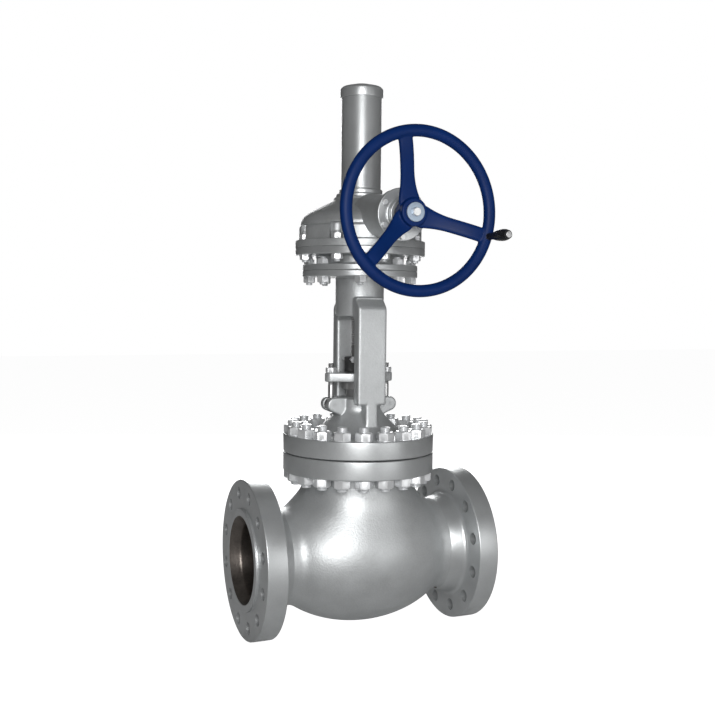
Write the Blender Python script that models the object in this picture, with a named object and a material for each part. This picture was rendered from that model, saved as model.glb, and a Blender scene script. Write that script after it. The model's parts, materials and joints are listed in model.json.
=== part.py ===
"""Cast-steel globe valve, bolted bonnet, outside screw and yoke, bevel gear operator.

The origin is where the pipe axis crosses the stem axis. +X runs along the pipe from
inlet to outlet, -Y points to the handwheel and +Z points up the stem. Metres.
The valve is modelled closed: the disc is on its seat.
"""
import bpy
import bmesh
from math import acos, atan, cos, pi, radians, sin, sqrt, tan
from mathutils import Matrix, Vector

# Clearances
FIT = 0.0003                  # between pieces that touch
RUN = 0.0006                  # radial, round a turning or sliding piece
PIVOT_GAP = 0.0005            # ends of the turning pieces
NUT_SINK = 0.002              # how far a fused nut reaches into its face
CUT_PAST = 0.030              # how far a hole's cutter stands past its piece

# Segments round a full turn
BIG_ROUND = 28
MID_ROUND = 24
SMALL_ROUND = 16
BOLT_ROUND = 6
PIN_ROUND = 12
POCKET_ROUND = 8
PIPE_HOLE_ROUND = 8

# Pipe flanges, 8 inch class 600
FACE_TO_FACE = 0.660
FLANGE_R = 0.210
FLANGE_T = 0.0556
RAISED_FACE_R = 0.135
RAISED_FACE_T = 0.007
PIPE_BOLT_COUNT = 12
PIPE_BOLT_CIRCLE_R = 0.1746
PIPE_BOLT_HOLE_R = 0.016

# Body casting
PORT_R = 0.100
PORT_MOUTH_R = 0.116          # the bore flares to this at the raised face
PORT_MOUTH_DEPTH = 0.028
HUB_R = 0.1365                # pipe neck where it meets the flange
NECK_R = 0.127                # pipe neck where it meets the belly
NECK_HUB_RUN = 0.028
BELLY_R = 0.187
BELLY_HALF_LENGTH = 0.270     # of the full ellipse, which the necks cut short
BODY_WALL = 0.027
CROWN_NUT_ROOM = 0.029        # from the bonnet studs' circle in to the upright neck under the flange
CROWN_WALL = 0.028
CROWN_FOOT_X = 0.176          # its foot spreads along the pipe
CROWN_FOOT_Y = 0.150
CROWN_FOOT_Z = 0.118
CROWN_WAIST_Z = 0.18475         # the spread ends here

# Bridge wall inside the body, and the seat
BRIDGE_T = 0.026
BRIDGE_TOP_Z = 0.012
BRIDGE_FLAT_X = 0.128         # half-length of its level part
BRIDGE_END_X = 0.212
BRIDGE_END_RISE = 0.112
SEAT_BORE_R = 0.100
SEAT_SLEEVE_T = 0.009
SEAT_SLEEVE_LENGTH = 0.022
SEAT_RIM_R = 0.117
SEAT_RIM_T = 0.010
SEAT_CHAMFER = 0.005

# Bonnet joint
JOINT_Z = 0.275
JOINT_GAP = 0.003             # filled by the gasket
GASKET_STEP = 0.006           # the gasket starts this far outside the bore
BONNET_FLANGE_R = 0.204
BODY_TOP_FLANGE_T = 0.050
BONNET_FLANGE_T = 0.0475
BONNET_STUD_COUNT = 20
BONNET_STUD_EDGE = 0.025      # from the studs' circle out to the flanges' rim
BONNET_STUD_R = 0.0132
BONNET_NUT_R = 0.0237         # across corners / 2
BONNET_NUT_H = 0.0225
BONNET_STUD_END = 0.013       # stands out of each nut

# Bonnet neck and stuffing box
CONE_FOOT_R = 0.128
CONE_MID_R = 0.098
CONE_MID_RISE = 0.022
BOX_R = 0.058                 # stuffing box, outside
BOX_TOP_Z = 0.420
BOX_SHOULDER_Z = 0.385        # the cone ends here
BOX_BORE_R = 0.036
BOX_FLOOR_Z = 0.346
BONNET_ROOM_STEP = 0.006      # the hollow under the bonnet is this much narrower than the body's bore
BONNET_ROOM_Z = 0.300         # top of its straight wall
BUSHING_R = 0.032
BUSHING_FOOT_Z = 0.318
LUG_HALF_X = 0.081            # eyebolt pins stand here
LUG_R = 0.0195
LUG_HALF_Y = 0.030
LUG_Z = 0.4035                # height of the eyebolt pins
LUG_SLOT_X = 0.060            # the slots for the eyes start here
LUG_ROOT_X = 0.0406           # foot of the block's sloped underside

# Yoke
ARM_HALF_X = 0.041
ARM_OUT_Y = 0.093
ARM_T = 0.034
ARM_FOOT_Z = 0.410
ARM_HEAD_H = 0.055            # from the arms' shoulder up to the flange
ARM_CHAMFER = 0.026
LEG_HALF_X = 0.018
LEG_FOOT_Z = 0.330
WINDOW_ROOF_T = 0.049         # from the window up to the arms' shoulder
YOKE_HUB_R = 0.0655
YOKE_HUB_BORE_R = 0.034
YOKE_FLANGE_R = 0.155
YOKE_FLANGE_Z = 0.745
YOKE_FLANGE_T = 0.016

# Gland
PACKING_COUNT = 5
PACKING_H = 0.0095
GLAND_SLEEVE_R = 0.0350
GLAND_COLLAR_R = 0.045
GLAND_COLLAR_Z = 0.443
GLAND_FLANGE_Z = 0.4638
GLAND_FLANGE_T = 0.0247
GLAND_FLANGE_END_R = 0.0165
GLAND_FLANGE_WAIST_R = 0.046
EYEBOLT_R = 0.008
EYE_R = 0.0165
EYE_T = 0.018
EYE_PIN_R = 0.007
GLAND_NUT_R = 0.0150
GLAND_NUT_H = 0.0140
EYEBOLT_END = 0.011
EYEBOLT_ROOT = 0.0105         # the shank starts this far above the eye's middle

# Stem, disc and travel
STEM_R = 0.022
STEM_TOP_Z = 1.130
STEM_CHAMFER = 0.0055
STEM_COLLAR_R = 0.029
STEM_COLLAR_H = 0.029
STEM_BUTTON_R = 0.029
STEM_BUTTON_T = 0.012
BACKSEAT_T = 0.006            # height of the collar's upper cone
LIFT = 0.056
DISC_R = 0.1085
DISC_T = 0.030
DISC_CHAMFER = 0.005
DISC_EDGE_T = 0.018
DISC_BOSS_R = 0.048
DISC_BOSS_H = 0.034
DISC_POCKET_DEPTH = 0.040
DISC_NUT_R = 0.040
DISC_NUT_END = 0.012          # stands out of the disc's boss
GUIDE_R = 0.040               # clamp that keeps the stem from turning
GUIDE_Z = 0.4905
GUIDE_H = 0.040
GUIDE_ARM_HALF_X = 0.0205
GUIDE_ARM_H = 0.022
GUIDE_SLIDE_GAP = 0.0008
GUIDE_SCREW_R = 0.005
GUIDE_SCREW_HEAD_R = 0.0095
GUIDE_SCREW_HEAD_T = 0.0070
GUIDE_SCREW_DROP = 0.0056     # below the clamp's top

# Gear case
CASE_FOOT_R = YOKE_FLANGE_R
CASE_FOOT_T = 0.016
CASE_DRUM_R = 0.118
CASE_FLANGE_R = 0.1747
CASE_FLANGE_T = 0.0195
CASE_FLANGE_Z = 0.802         # underside of the wide flange
CASE_ROOM_R = 0.098
MOUNT_BOLT_COUNT = 8
MOUNT_BOLT_CIRCLE_R = 0.137
COVER_BOLT_COUNT = 8
COVER_BOLT_CIRCLE_R = 0.157
CASE_BOLT_R = 0.0085
CASE_NUT_R = 0.0150
CASE_NUT_H = 0.0150
CASE_BOLT_END = 0.0065
COVER_SHOULDER_R = 0.165
COVER_SHOULDER_Z = 0.876
COVER_WALL_R = 0.161
COVER_STEP_H = 0.00435
COVER_POCKET_R = 0.0200
COVER_POCKET_Z = 0.884
COVER_ROOM_R = 0.126
COVER_BEND_Z = 0.886          # the dome starts to bend in
COVER_BEND_R = 0.030
COVER_BEND_ANGLE = radians(60)
COVER_BEND_STEPS = 3
COVER_CONE_R = 0.074          # foot of the neck on the dome
COVER_CONE_Z = 0.9515
COVER_NECK_TOP_Z = 0.9575
COVER_WALL_T = 0.012
COVER_ROOF_Z = 0.9323
COVER_SEAT_R = 0.064          # round the upper bearing
COVER_NECK_BORE_R = 0.04245
BEARING_IN_R = 0.0392
BEARING_OUT_R = 0.0600
BEARING_H = 0.0195

# Bevel gears: the teeth point to the crossing of the two axes
PINION_TEETH = 10
GEAR_TEETH = 30
GEAR_PITCH_R = 0.108
SHAFT_Z = 0.8948
TOOTH_WIDTH = 0.031           # along the pitch cone
PRESSURE_ANGLE = radians(20)
BACKLASH = 0.0009
GEAR_ADDENDUM = 0.60          # share of the module; the pinion's teeth are the longer ones
PINION_ADDENDUM = 1.15
TOOTH_ROOT_GAP = 0.22
TOOTH_OVERRUN = 0.3           # the gaps' cutters go past the tips by this
GEAR_HUB_H = 0.050
GEAR_LIP = 0.4                # share of the module, at the toe
GEAR_DISH = 0.8               # share of the teeth's depth
PINION_BACK_R = 0.024
PINION_CHAMFER = 0.3          # share of the module
GEAR_BACK_T = 0.012
STEM_NUT_R = 0.0386
STEM_NUT_TOP_Z = 0.915
STEM_NUT_FLANGE_R = 0.060
STEM_NUT_FLANGE_T = 0.014
STEM_NUT_FOOT_LIFT = 0.008    # above the case's foot

# Input shaft and its housing
SHAFT_R = 0.0160
SHAFT_END_R = 0.0125
BARREL_R = 0.057
BARREL_BORE_R = 0.046
BARREL_START = 0.039          # from the stem's axis
BARREL_FRONT_Y = -0.246
PINION_BEARING_T = 0.020
CAP_R = 0.0655
CAP_T = 0.016
CAP_BOSS_R = 0.039
CAP_BOSS_T = 0.016
CAP_SCREW_COUNT = 6
CAP_SCREW_CIRCLE_R = 0.0555
CAP_SCREW_R = 0.004
CAP_SCREW_HEAD_R = 0.0075
CAP_SCREW_HEAD_T = 0.0075
SEAL_R = 0.028
SEAL_T = 0.009

# Handwheel
WHEEL_RIM_Y = -0.3596
WHEEL_RIM_R = 0.189           # centre of the rim's section
RIM_HALF_W = 0.015            # radial
RIM_HALF_T = 0.013            # along the axis
RIM_ROUND = 8
WHEEL_HUB_R = 0.034
WHEEL_HUB_FRONT_Y = -0.334
WHEEL_HUB_LENGTH = 0.042
SPOKE_COUNT = 3
SPOKE_PHASE = radians(-16.7)
SPOKE_W = 0.036
SPOKE_ROOT_W = 0.056
SPOKE_T = 0.014
SPOKE_ROUND = 8
SPOKE_START_R = 0.012         # inside the hub
SPOKE_WAIST_R = 0.062
SPOKE_EVEN_R = 0.100          # of one width from here out
KEY_W = 0.008
KEY_H = 0.0035
HUB_WASHER_R = 0.0235
HUB_WASHER_T = 0.005
HUB_SCREW_HEAD_R = 0.011
HUB_SCREW_HEAD_H = 0.008
HUB_SCREW_R = 0.006
HUB_SCREW_LENGTH = 0.022

# Revolving handle
HANDLE_BOLT_R = 0.0055
HANDLE_COLLAR_R = 0.0085
HANDLE_COLLAR_T = 0.00425
HANDLE_BOLT_SEAT = 0.0117     # the bolt's end, behind the middle of the rim
HANDLE_LENGTH = 0.086
HANDLE_SWELL = (              # share of the length, radius of the grip there
    (0.0, 0.0090), (0.16, 0.0078), (0.45, 0.01247), (0.72, 0.0145), (0.92, 0.01305), (1.0, 0.00957),
)
HANDLE_HEAD_R = 0.0085
HANDLE_HEAD_T = 0.004

# Stem cover tube
TUBE_R = 0.0536
TUBE_WALL = 0.004
TUBE_COLLAR_R = 0.0585
TUBE_COLLAR_H = 0.012
TUBE_TOP_Z = 1.236
LOCK_RING_R = 0.0670
LOCK_RING_H = 0.009
TUBE_CAP_R = 0.0575
TUBE_CAP_Z = 1.222
TUBE_CAP_H = 0.030
TUBE_CAP_CHAMFER = 0.006
TUBE_PLUG_R = 0.030
TUBE_PLUG_H = 0.006

# Worked out from the sizes above
BODY_TOP_Z = JOINT_Z - JOINT_GAP / 2
BONNET_FOOT_Z = JOINT_Z + JOINT_GAP / 2
BONNET_STUD_CIRCLE_R = BONNET_FLANGE_R - BONNET_STUD_EDGE
CROWN_R = BONNET_STUD_CIRCLE_R - CROWN_NUT_ROOM
CROWN_BORE_R = CROWN_R - CROWN_WALL
BONNET_ROOM_R = CROWN_BORE_R - BONNET_ROOM_STEP
GASKET_IN_R = CROWN_BORE_R + GASKET_STEP
GASKET_OUT_R = CROWN_R
BONNET_TOP_Z = BONNET_FOOT_Z + BONNET_FLANGE_T
FLANGE_FACE_X = FACE_TO_FACE / 2 - RAISED_FACE_T
FLANGE_BACK_X = FLANGE_FACE_X - FLANGE_T
SEAT_FACE_Z = BRIDGE_TOP_Z + FIT + SEAT_RIM_T
CASE_FOOT_Z = YOKE_FLANGE_Z + YOKE_FLANGE_T + FIT
CASE_DRUM_Z = CASE_FOOT_Z + CASE_FOOT_T
CASE_JOINT_Z = CASE_FLANGE_Z + CASE_FLANGE_T
COVER_FOOT_Z = CASE_JOINT_Z + FIT
COVER_FLANGE_TOP_Z = COVER_FOOT_Z + CASE_FLANGE_T
PINION_PITCH_R = GEAR_PITCH_R * PINION_TEETH / GEAR_TEETH
BODY_FLANGE_FOOT_Z = BODY_TOP_Z - BODY_TOP_FLANGE_T
ARM_IN_Y = ARM_OUT_Y - ARM_T
ARM_TOP_Z = YOKE_FLANGE_Z - ARM_HEAD_H
WINDOW_TOP_Z = ARM_TOP_Z - WINDOW_ROOF_T
LUG_FOOT_Z = BOX_SHOULDER_Z - LUG_R


def clear_scene():
    """Remove what a new file holds."""
    for thing in list(bpy.data.objects):
        bpy.data.objects.remove(thing, do_unlink=True)


def material(name, colour, roughness, metallic):
    """A Principled material."""
    mat = bpy.data.materials.new(name)
    mat.use_nodes = True
    shader = mat.node_tree.nodes["Principled BSDF"]
    shader.inputs["Base Color"].default_value = (*colour, 1.0)
    shader.inputs["Roughness"].default_value = roughness
    shader.inputs["Metallic"].default_value = metallic
    return mat


def flat_round(radius):
    """Corner radius of a bolt-sided hole that leaves FIT round a stud of that radius."""
    return radius + FIT / cos(pi / BOLT_ROUND)


def faced_out(bm):
    """Turn the faces of a closed shape outwards."""
    bmesh.ops.recalc_face_normals(bm, faces=bm.faces)
    if bm.calc_volume(signed=True) < 0:
        bmesh.ops.reverse_faces(bm, faces=bm.faces)
    return bm


def turned(profile, segments):
    """A closed solid: a half-section of (radius, height) points spun about Z.

    A section whose ends lie on the axis is open there; any other is a closed loop.
    """
    bm = bmesh.new()
    verts = [bm.verts.new((radius, 0.0, height)) for radius, height in profile]
    edges = [bm.edges.new(pair) for pair in zip(verts, verts[1:])]
    if profile[0][0] > 0 or profile[-1][0] > 0:
        edges.append(bm.edges.new((verts[-1], verts[0])))
    bmesh.ops.spin(bm, geom=verts + edges, cent=(0, 0, 0), axis=(0, 0, 1),
                   angle=2 * pi, steps=segments, use_merge=True)
    bmesh.ops.remove_doubles(bm, verts=bm.verts, dist=1e-6)
    bmesh.ops.dissolve_degenerate(bm, edges=bm.edges, dist=1e-6)
    return faced_out(bm)


def prism(outline, low, high):
    """A closed solid: an outline of (x, y) points extruded from height low to high."""
    bm = bmesh.new()
    face = bm.faces.new([bm.verts.new((x, y, low)) for x, y in outline])
    side = bmesh.ops.extrude_face_region(bm, geom=[face])
    moved = [item for item in side["geom"] if isinstance(item, bmesh.types.BMVert)]
    bmesh.ops.translate(bm, verts=moved, vec=(0, 0, high - low))
    return faced_out(bm)


def lofted(rings):
    """A closed solid: rings of points with equal counts, bridged in turn and capped."""
    bm = bmesh.new()
    loops = []
    for ring in rings:
        verts = [bm.verts.new(point) for point in ring]
        loops.append([bm.edges.new((verts[i - 1], verts[i])) for i in range(len(verts))])
    for lower, upper in zip(loops, loops[1:]):
        bmesh.ops.bridge_loops(bm, edges=lower + upper)
    bmesh.ops.contextual_create(bm, geom=loops[0])
    bmesh.ops.contextual_create(bm, geom=loops[-1])
    return faced_out(bm)


def cylinder(radius, low, high, segments):
    """A plain round bar about Z."""
    return turned([(0, low), (radius, low), (radius, high), (0, high)], segments)


def ring(inner, outer, low, high, segments):
    """A plain collar about Z."""
    return turned([(inner, low), (outer, low), (outer, high), (inner, high)], segments)


def block(x, y, z):
    """A box from three (low, high) pairs."""
    return prism([(x[0], y[0]), (x[1], y[0]), (x[1], y[1]), (x[0], y[1])], *z)


def moved(bm, shift=(0, 0, 0), turn=0.0, axis="Z"):
    """Turn a shape about an axis through the origin, then shift it."""
    matrix = Matrix.Translation(Vector(shift)) @ Matrix.Rotation(turn, 4, axis)
    bmesh.ops.transform(bm, matrix=matrix, verts=bm.verts)
    return bm


def along_x(bm):
    """Lay a shape that was made about Z along +X."""
    return moved(bm, turn=pi / 2, axis="Y")


def along_front(bm):
    """Lay a shape that was made about Z along -Y, with its +X side still at +X."""
    return moved(bm, turn=pi / 2, axis="X")


def gathered(shapes):
    """Several separate solids in one mesh."""
    total = bmesh.new()
    for shape in shapes:
        mesh = bpy.data.meshes.new("gathered")
        shape.to_mesh(mesh)
        shape.free()
        total.from_mesh(mesh)
        bpy.data.meshes.remove(mesh)
    return total


def circle_pattern(make, count, radius, phase=0.0):
    """Copies of a shape, each turned to face outwards, on a circle about Z."""
    shapes = []
    for index in range(count):
        angle = phase + 2 * pi * index / count
        shape = make()
        moved(shape, shift=(radius, 0, 0))
        shapes.append(moved(shape, turn=angle))
    return gathered(shapes)


def node(name, bm, mat, joint_origin=None):
    """Make an object of a shape. Its origin is the point that its joint's axis passes through."""
    if joint_origin is not None:
        bmesh.ops.translate(bm, verts=bm.verts, vec=-Vector(joint_origin))
    mesh = bpy.data.meshes.new(name)
    bm.to_mesh(mesh)
    bm.free()
    mesh.shade_smooth()
    mesh.set_sharp_from_angle(angle=radians(34))
    if mat is not None:
        mesh.materials.append(mat)
    thing = bpy.data.objects.new(name, mesh)
    if joint_origin is not None:
        thing.location = joint_origin
    bpy.context.scene.collection.objects.link(thing)
    return thing


def tooled(bm, operation, tool):
    """Cut a shape with another (DIFFERENCE), or join them (UNION), by an exact Boolean."""
    base = node("work_piece", bm, None)
    other = node("work_tool", tool, None)
    other.hide_render = True
    other.display_type = "WIRE"
    change = base.modifiers.new("change", "BOOLEAN")
    change.operation = operation
    change.object = other
    change.solver = "EXACT"
    graph = bpy.context.evaluated_depsgraph_get()
    result = bmesh.new()
    result.from_mesh(base.evaluated_get(graph).to_mesh())
    for thing in (base, other):
        mesh = thing.data
        bpy.data.objects.remove(thing, do_unlink=True)
        bpy.data.meshes.remove(mesh)
    bmesh.ops.remove_doubles(result, verts=result.verts, dist=1e-6)
    return result


def cut(bm, *tools):
    """Take each tool's space out of a shape."""
    for tool in tools:
        bm = tooled(bm, "DIFFERENCE", tool)
    return bm


def fused(bm, *others):
    """Join shapes into one solid."""
    for other in others:
        bm = tooled(bm, "UNION", other)
    return bm


def nut(corner_r, hole_r, low, high):
    """A hexagon nut with its hole."""
    return ring(hole_r, corner_r, low, high, BOLT_ROUND)


def tightened_nuts(face_z, up, count, circle_r, phase, corner_r, height, stud_r, end):
    """Nuts on a level face, each with the end of its stud, a little sunk to fuse with the face."""
    sign = 1 if up else -1
    foot = face_z - sign * NUT_SINK
    section = [(0, foot), (corner_r, foot), (corner_r, face_z + sign * height)]
    if end > 0:
        section += [(stud_r, face_z + sign * height), (stud_r, face_z + sign * (height + end))]
    section.append((0, face_z + sign * (height + end)))
    return circle_pattern(lambda: turned(section, BOLT_ROUND), count, circle_r, phase)


def bonnet_nuts(face_z, up):
    """The ring of bonnet nuts on one side of the joint."""
    stud_end = BONNET_STUD_END if up else 0
    return tightened_nuts(face_z, up, BONNET_STUD_COUNT, BONNET_STUD_CIRCLE_R, 0.0,
                          BONNET_NUT_R, BONNET_NUT_H, BONNET_STUD_R, stud_end)


def case_nuts(face_z, up, count, circle_r, phase):
    """A ring of the gear case's nuts."""
    height = CASE_NUT_H + CASE_BOLT_END
    return tightened_nuts(face_z, up, count, circle_r, phase, CASE_NUT_R, height, CASE_BOLT_R, 0)


def bolt(shank_r, head_r, head_low, head_high, end):
    """A hexagon head with its shank, fused, standing along Z."""
    under = head_low if end < head_low else head_high
    outer = head_high if end < head_low else head_low
    section = [(0, outer), (head_r, outer), (head_r, under), (shank_r, under), (shank_r, end), (0, end)]
    return turned(section, BOLT_ROUND)


def pipe_side(sign):
    """Outer half-section of one pipe end, from the flange face to the belly."""
    points = [
        (0.0, FLANGE_FACE_X + RAISED_FACE_T), (RAISED_FACE_R, FLANGE_FACE_X + RAISED_FACE_T),
        (RAISED_FACE_R, FLANGE_FACE_X), (FLANGE_R, FLANGE_FACE_X), (FLANGE_R, FLANGE_BACK_X),
        (HUB_R, FLANGE_BACK_X), (NECK_R, FLANGE_BACK_X - NECK_HUB_RUN),
    ]
    return [(radius, sign * x) for radius, x in points]


def ellipse_arc(radius, half_length, cut_radius, steps):
    """Points of an ellipse turned about X, between the two places where it meets a bore."""
    reach = acos(cut_radius / radius)
    angles = [-reach + 2 * reach * index / steps for index in range(steps + 1)]
    return [(radius * cos(angle), half_length * sin(angle)) for angle in angles]


def oval(half_x, half_y, height, segments=BIG_ROUND):
    """A ring of points on a level oval."""
    angles = [2 * pi * index / segments for index in range(segments)]
    return [(half_x * cos(angle), half_y * sin(angle), height) for angle in angles]


def seat_bridge():
    """S-shaped wall between inlet and outlet, with the hole that holds the seat ring."""
    top, low = BRIDGE_TOP_Z, BRIDGE_TOP_Z - BRIDGE_T
    half = [
        (-BRIDGE_END_X, BRIDGE_END_RISE), (-BRIDGE_FLAT_X - BRIDGE_T / 2, low), (BRIDGE_FLAT_X, low),
        (BRIDGE_END_X - BRIDGE_T, -BRIDGE_END_RISE - BRIDGE_T), (BRIDGE_END_X, -BRIDGE_END_RISE - BRIDGE_T),
    ]
    outline = half + [(-x, top + low - z) for x, z in half]
    wall = moved(prism(outline, -BELLY_R, BELLY_R), turn=pi / 2, axis="X")
    hole = cylinder(SEAT_BORE_R + SEAT_SLEEVE_T + FIT, low - BODY_WALL, top + BODY_WALL, MID_ROUND)
    return cut(wall, hole)


def valve_body(paint):
    """Globe casting: two drilled flanges, belly, crown with drilled flange, hollow inside."""
    belly = ellipse_arc(BELLY_R, BELLY_HALF_LENGTH, NECK_R, 8)
    outer = pipe_side(-1) + belly + pipe_side(1)[::-1]
    shell = along_x(turned(outer, BIG_ROUND))
    crown = lofted([
        oval(CROWN_FOOT_X / 2, CROWN_FOOT_Y / 2, 0.0),
        oval(CROWN_FOOT_X, CROWN_FOOT_Y, CROWN_FOOT_Z),
        oval(CROWN_R, CROWN_R, CROWN_WAIST_Z),
        oval(CROWN_R, CROWN_R, BODY_FLANGE_FOOT_Z),
        oval(BONNET_FLANGE_R, BONNET_FLANGE_R, BODY_FLANGE_FOOT_Z),
        oval(BONNET_FLANGE_R, BONNET_FLANGE_R, BODY_TOP_Z),
    ])
    shell = fused(shell, crown)

    wall = BODY_WALL
    room = ellipse_arc(BELLY_R - wall, BELLY_HALF_LENGTH - wall, PORT_R, 6)
    past = FLANGE_FACE_X + RAISED_FACE_T + wall
    mouth = FLANGE_FACE_X + RAISED_FACE_T
    flare = (PORT_MOUTH_R - PORT_R) / PORT_MOUTH_DEPTH * wall
    left = [(0, -past), (PORT_MOUTH_R + flare, -past), (PORT_R, -mouth + PORT_MOUTH_DEPTH)]
    right = [(radius, -x) for radius, x in reversed(left)]
    water = along_x(turned(left + room + right, MID_ROUND))
    crown_bore = cylinder(CROWN_BORE_R, BRIDGE_TOP_Z, BODY_TOP_Z + wall, MID_ROUND)
    water = cut(fused(water, crown_bore), seat_bridge())

    def pipe_hole():
        return cylinder(PIPE_BOLT_HOLE_R, FLANGE_BACK_X - FIT, FLANGE_FACE_X + RAISED_FACE_T, PIPE_HOLE_ROUND)

    half_step = pi / PIPE_BOLT_COUNT
    holes = circle_pattern(pipe_hole, PIPE_BOLT_COUNT, PIPE_BOLT_CIRCLE_R, half_step)
    right_holes = along_x(holes)
    left_holes = moved(right_holes.copy(), turn=pi)
    shell = cut(shell, water, gathered([left_holes, right_holes]))
    shell = fused(shell, bonnet_nuts(BODY_FLANGE_FOOT_Z, False))
    return node("valve_body", shell, paint)


def seat_ring(steel):
    """Seat pressed into the bridge, with the rim that the disc closes on."""
    low = BRIDGE_TOP_Z - SEAT_SLEEVE_LENGTH
    rim = BRIDGE_TOP_Z + FIT
    sleeve_r = SEAT_BORE_R + SEAT_SLEEVE_T
    section = [
        (SEAT_BORE_R, low), (sleeve_r, low), (sleeve_r, rim), (SEAT_RIM_R, rim),
        (SEAT_RIM_R, SEAT_FACE_Z - SEAT_CHAMFER), (SEAT_RIM_R - SEAT_CHAMFER, SEAT_FACE_Z),
        (SEAT_BORE_R, SEAT_FACE_Z),
    ]
    return node("seat_ring", turned(section, MID_ROUND), steel)


def bonnet_gasket(graphite):
    """Flat ring between the two bonnet flanges."""
    low, high = BODY_TOP_Z + FIT, BONNET_FOOT_Z - FIT
    return node("bonnet_gasket", ring(GASKET_IN_R, GASKET_OUT_R, low, high, MID_ROUND), graphite)


def lug_outline():
    """Front view of the lug block: level top, round ends at the eyebolt pins, sloped underside."""
    steps = 6
    angles = [-pi / 3 + index * (pi / 2 + pi / 3) / steps for index in range(steps + 1)]
    right = [(LUG_HALF_X + LUG_R * cos(a), LUG_Z + LUG_R * sin(a)) for a in angles]
    right.insert(0, (LUG_ROOT_X, LUG_FOOT_Z))
    return right + [(-x, z) for x, z in reversed(right)]


def yoke_arm_outline():
    """Side view of one arm plate in (y, z), with the chamfer at its shoulder."""
    return [
        (ARM_IN_Y, ARM_FOOT_Z), (ARM_OUT_Y, ARM_FOOT_Z), (ARM_OUT_Y, ARM_TOP_Z - ARM_CHAMFER),
        (ARM_OUT_Y - ARM_CHAMFER, ARM_TOP_Z), (0.0, ARM_TOP_Z), (0.0, WINDOW_TOP_Z),
        (ARM_IN_Y - ARM_CHAMFER / 2, WINDOW_TOP_Z), (ARM_IN_Y, WINDOW_TOP_Z - ARM_CHAMFER / 2),
    ]


def yoke_arm():
    """One arm with the narrow leg that stands on the bonnet's cone, on the +Y side."""
    outline = yoke_arm_outline()
    plate = prism([(z, y) for y, z in outline], -ARM_HALF_X, ARM_HALF_X)
    plate = moved(plate, turn=-pi / 2, axis="Y")
    leg = block((-LEG_HALF_X, LEG_HALF_X), (ARM_IN_Y, ARM_OUT_Y), (LEG_FOOT_Z, ARM_FOOT_Z + ARM_T / 2))
    return fused(plate, leg)


def bonnet_yoke(paint):
    """Bonnet with its cone, stuffing box, eyebolt lugs, two-armed yoke and top flange, one casting."""
    foot, top = BONNET_FOOT_Z, BONNET_TOP_Z
    neck = turned([
        (0, foot), (BONNET_FLANGE_R, foot), (BONNET_FLANGE_R, top), (CONE_FOOT_R, top),
        (CONE_MID_R, top + CONE_MID_RISE), (BOX_R, BOX_SHOULDER_Z), (BOX_R, BOX_TOP_Z), (0, BOX_TOP_Z),
    ], BIG_ROUND)
    lugs = moved(prism(lug_outline(), -LUG_HALF_Y, LUG_HALF_Y), turn=pi / 2, axis="X")
    hub = turned([
        (0, WINDOW_TOP_Z), (YOKE_HUB_R, WINDOW_TOP_Z), (YOKE_HUB_R, YOKE_FLANGE_Z),
        (YOKE_FLANGE_R, YOKE_FLANGE_Z), (YOKE_FLANGE_R, YOKE_FLANGE_Z + YOKE_FLANGE_T),
        (0, YOKE_FLANGE_Z + YOKE_FLANGE_T),
    ], BIG_ROUND)
    arms = fused(hub, yoke_arm(), moved(yoke_arm(), turn=pi))
    casting = fused(neck, lugs, arms)

    hollow = turned([
        (0, foot - BODY_WALL), (BONNET_ROOM_R, foot - BODY_WALL), (BONNET_ROOM_R, BONNET_ROOM_Z),
        (BUSHING_R + STEM_R, BUSHING_FOOT_Z), (BUSHING_R + FIT, BUSHING_FOOT_Z),
        (BUSHING_R + FIT, BOX_FLOOR_Z), (BOX_BORE_R, BOX_FLOOR_Z), (BOX_BORE_R, BOX_TOP_Z + BODY_WALL),
        (0, BOX_TOP_Z + BODY_WALL),
    ], MID_ROUND)
    hub_bore = cylinder(YOKE_HUB_BORE_R, WINDOW_TOP_Z - ARM_T, YOKE_FLANGE_Z + ARM_T, MID_ROUND)
    slot_half = EYE_T / 2 + FIT
    far = LUG_HALF_X + LUG_R * 2
    slot_low, slot_high = LUG_Z - LUG_R * 2, BOX_TOP_Z + LUG_R
    slots = [
        block((sign * LUG_SLOT_X, sign * far) if sign > 0 else (-far, -LUG_SLOT_X),
              (-slot_half, slot_half), (slot_low, slot_high))
        for sign in (-1, 1)
    ]
    pins = [
        moved(along_front(cylinder(flat_round(EYE_PIN_R), -LUG_HALF_Y * 2, LUG_HALF_Y * 2, BOLT_ROUND)),
              shift=(sign * LUG_HALF_X, 0, LUG_Z))
        for sign in (-1, 1)
    ]
    casting = cut(casting, gathered([hollow, hub_bore]), gathered(slots), gathered(pins))
    mounting = case_nuts(YOKE_FLANGE_Z, False, MOUNT_BOLT_COUNT, MOUNT_BOLT_CIRCLE_R, pi / MOUNT_BOLT_COUNT)
    casting = fused(casting, gathered([bonnet_nuts(top, True), mounting]))
    return node("bonnet_yoke", casting, paint)


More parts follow.
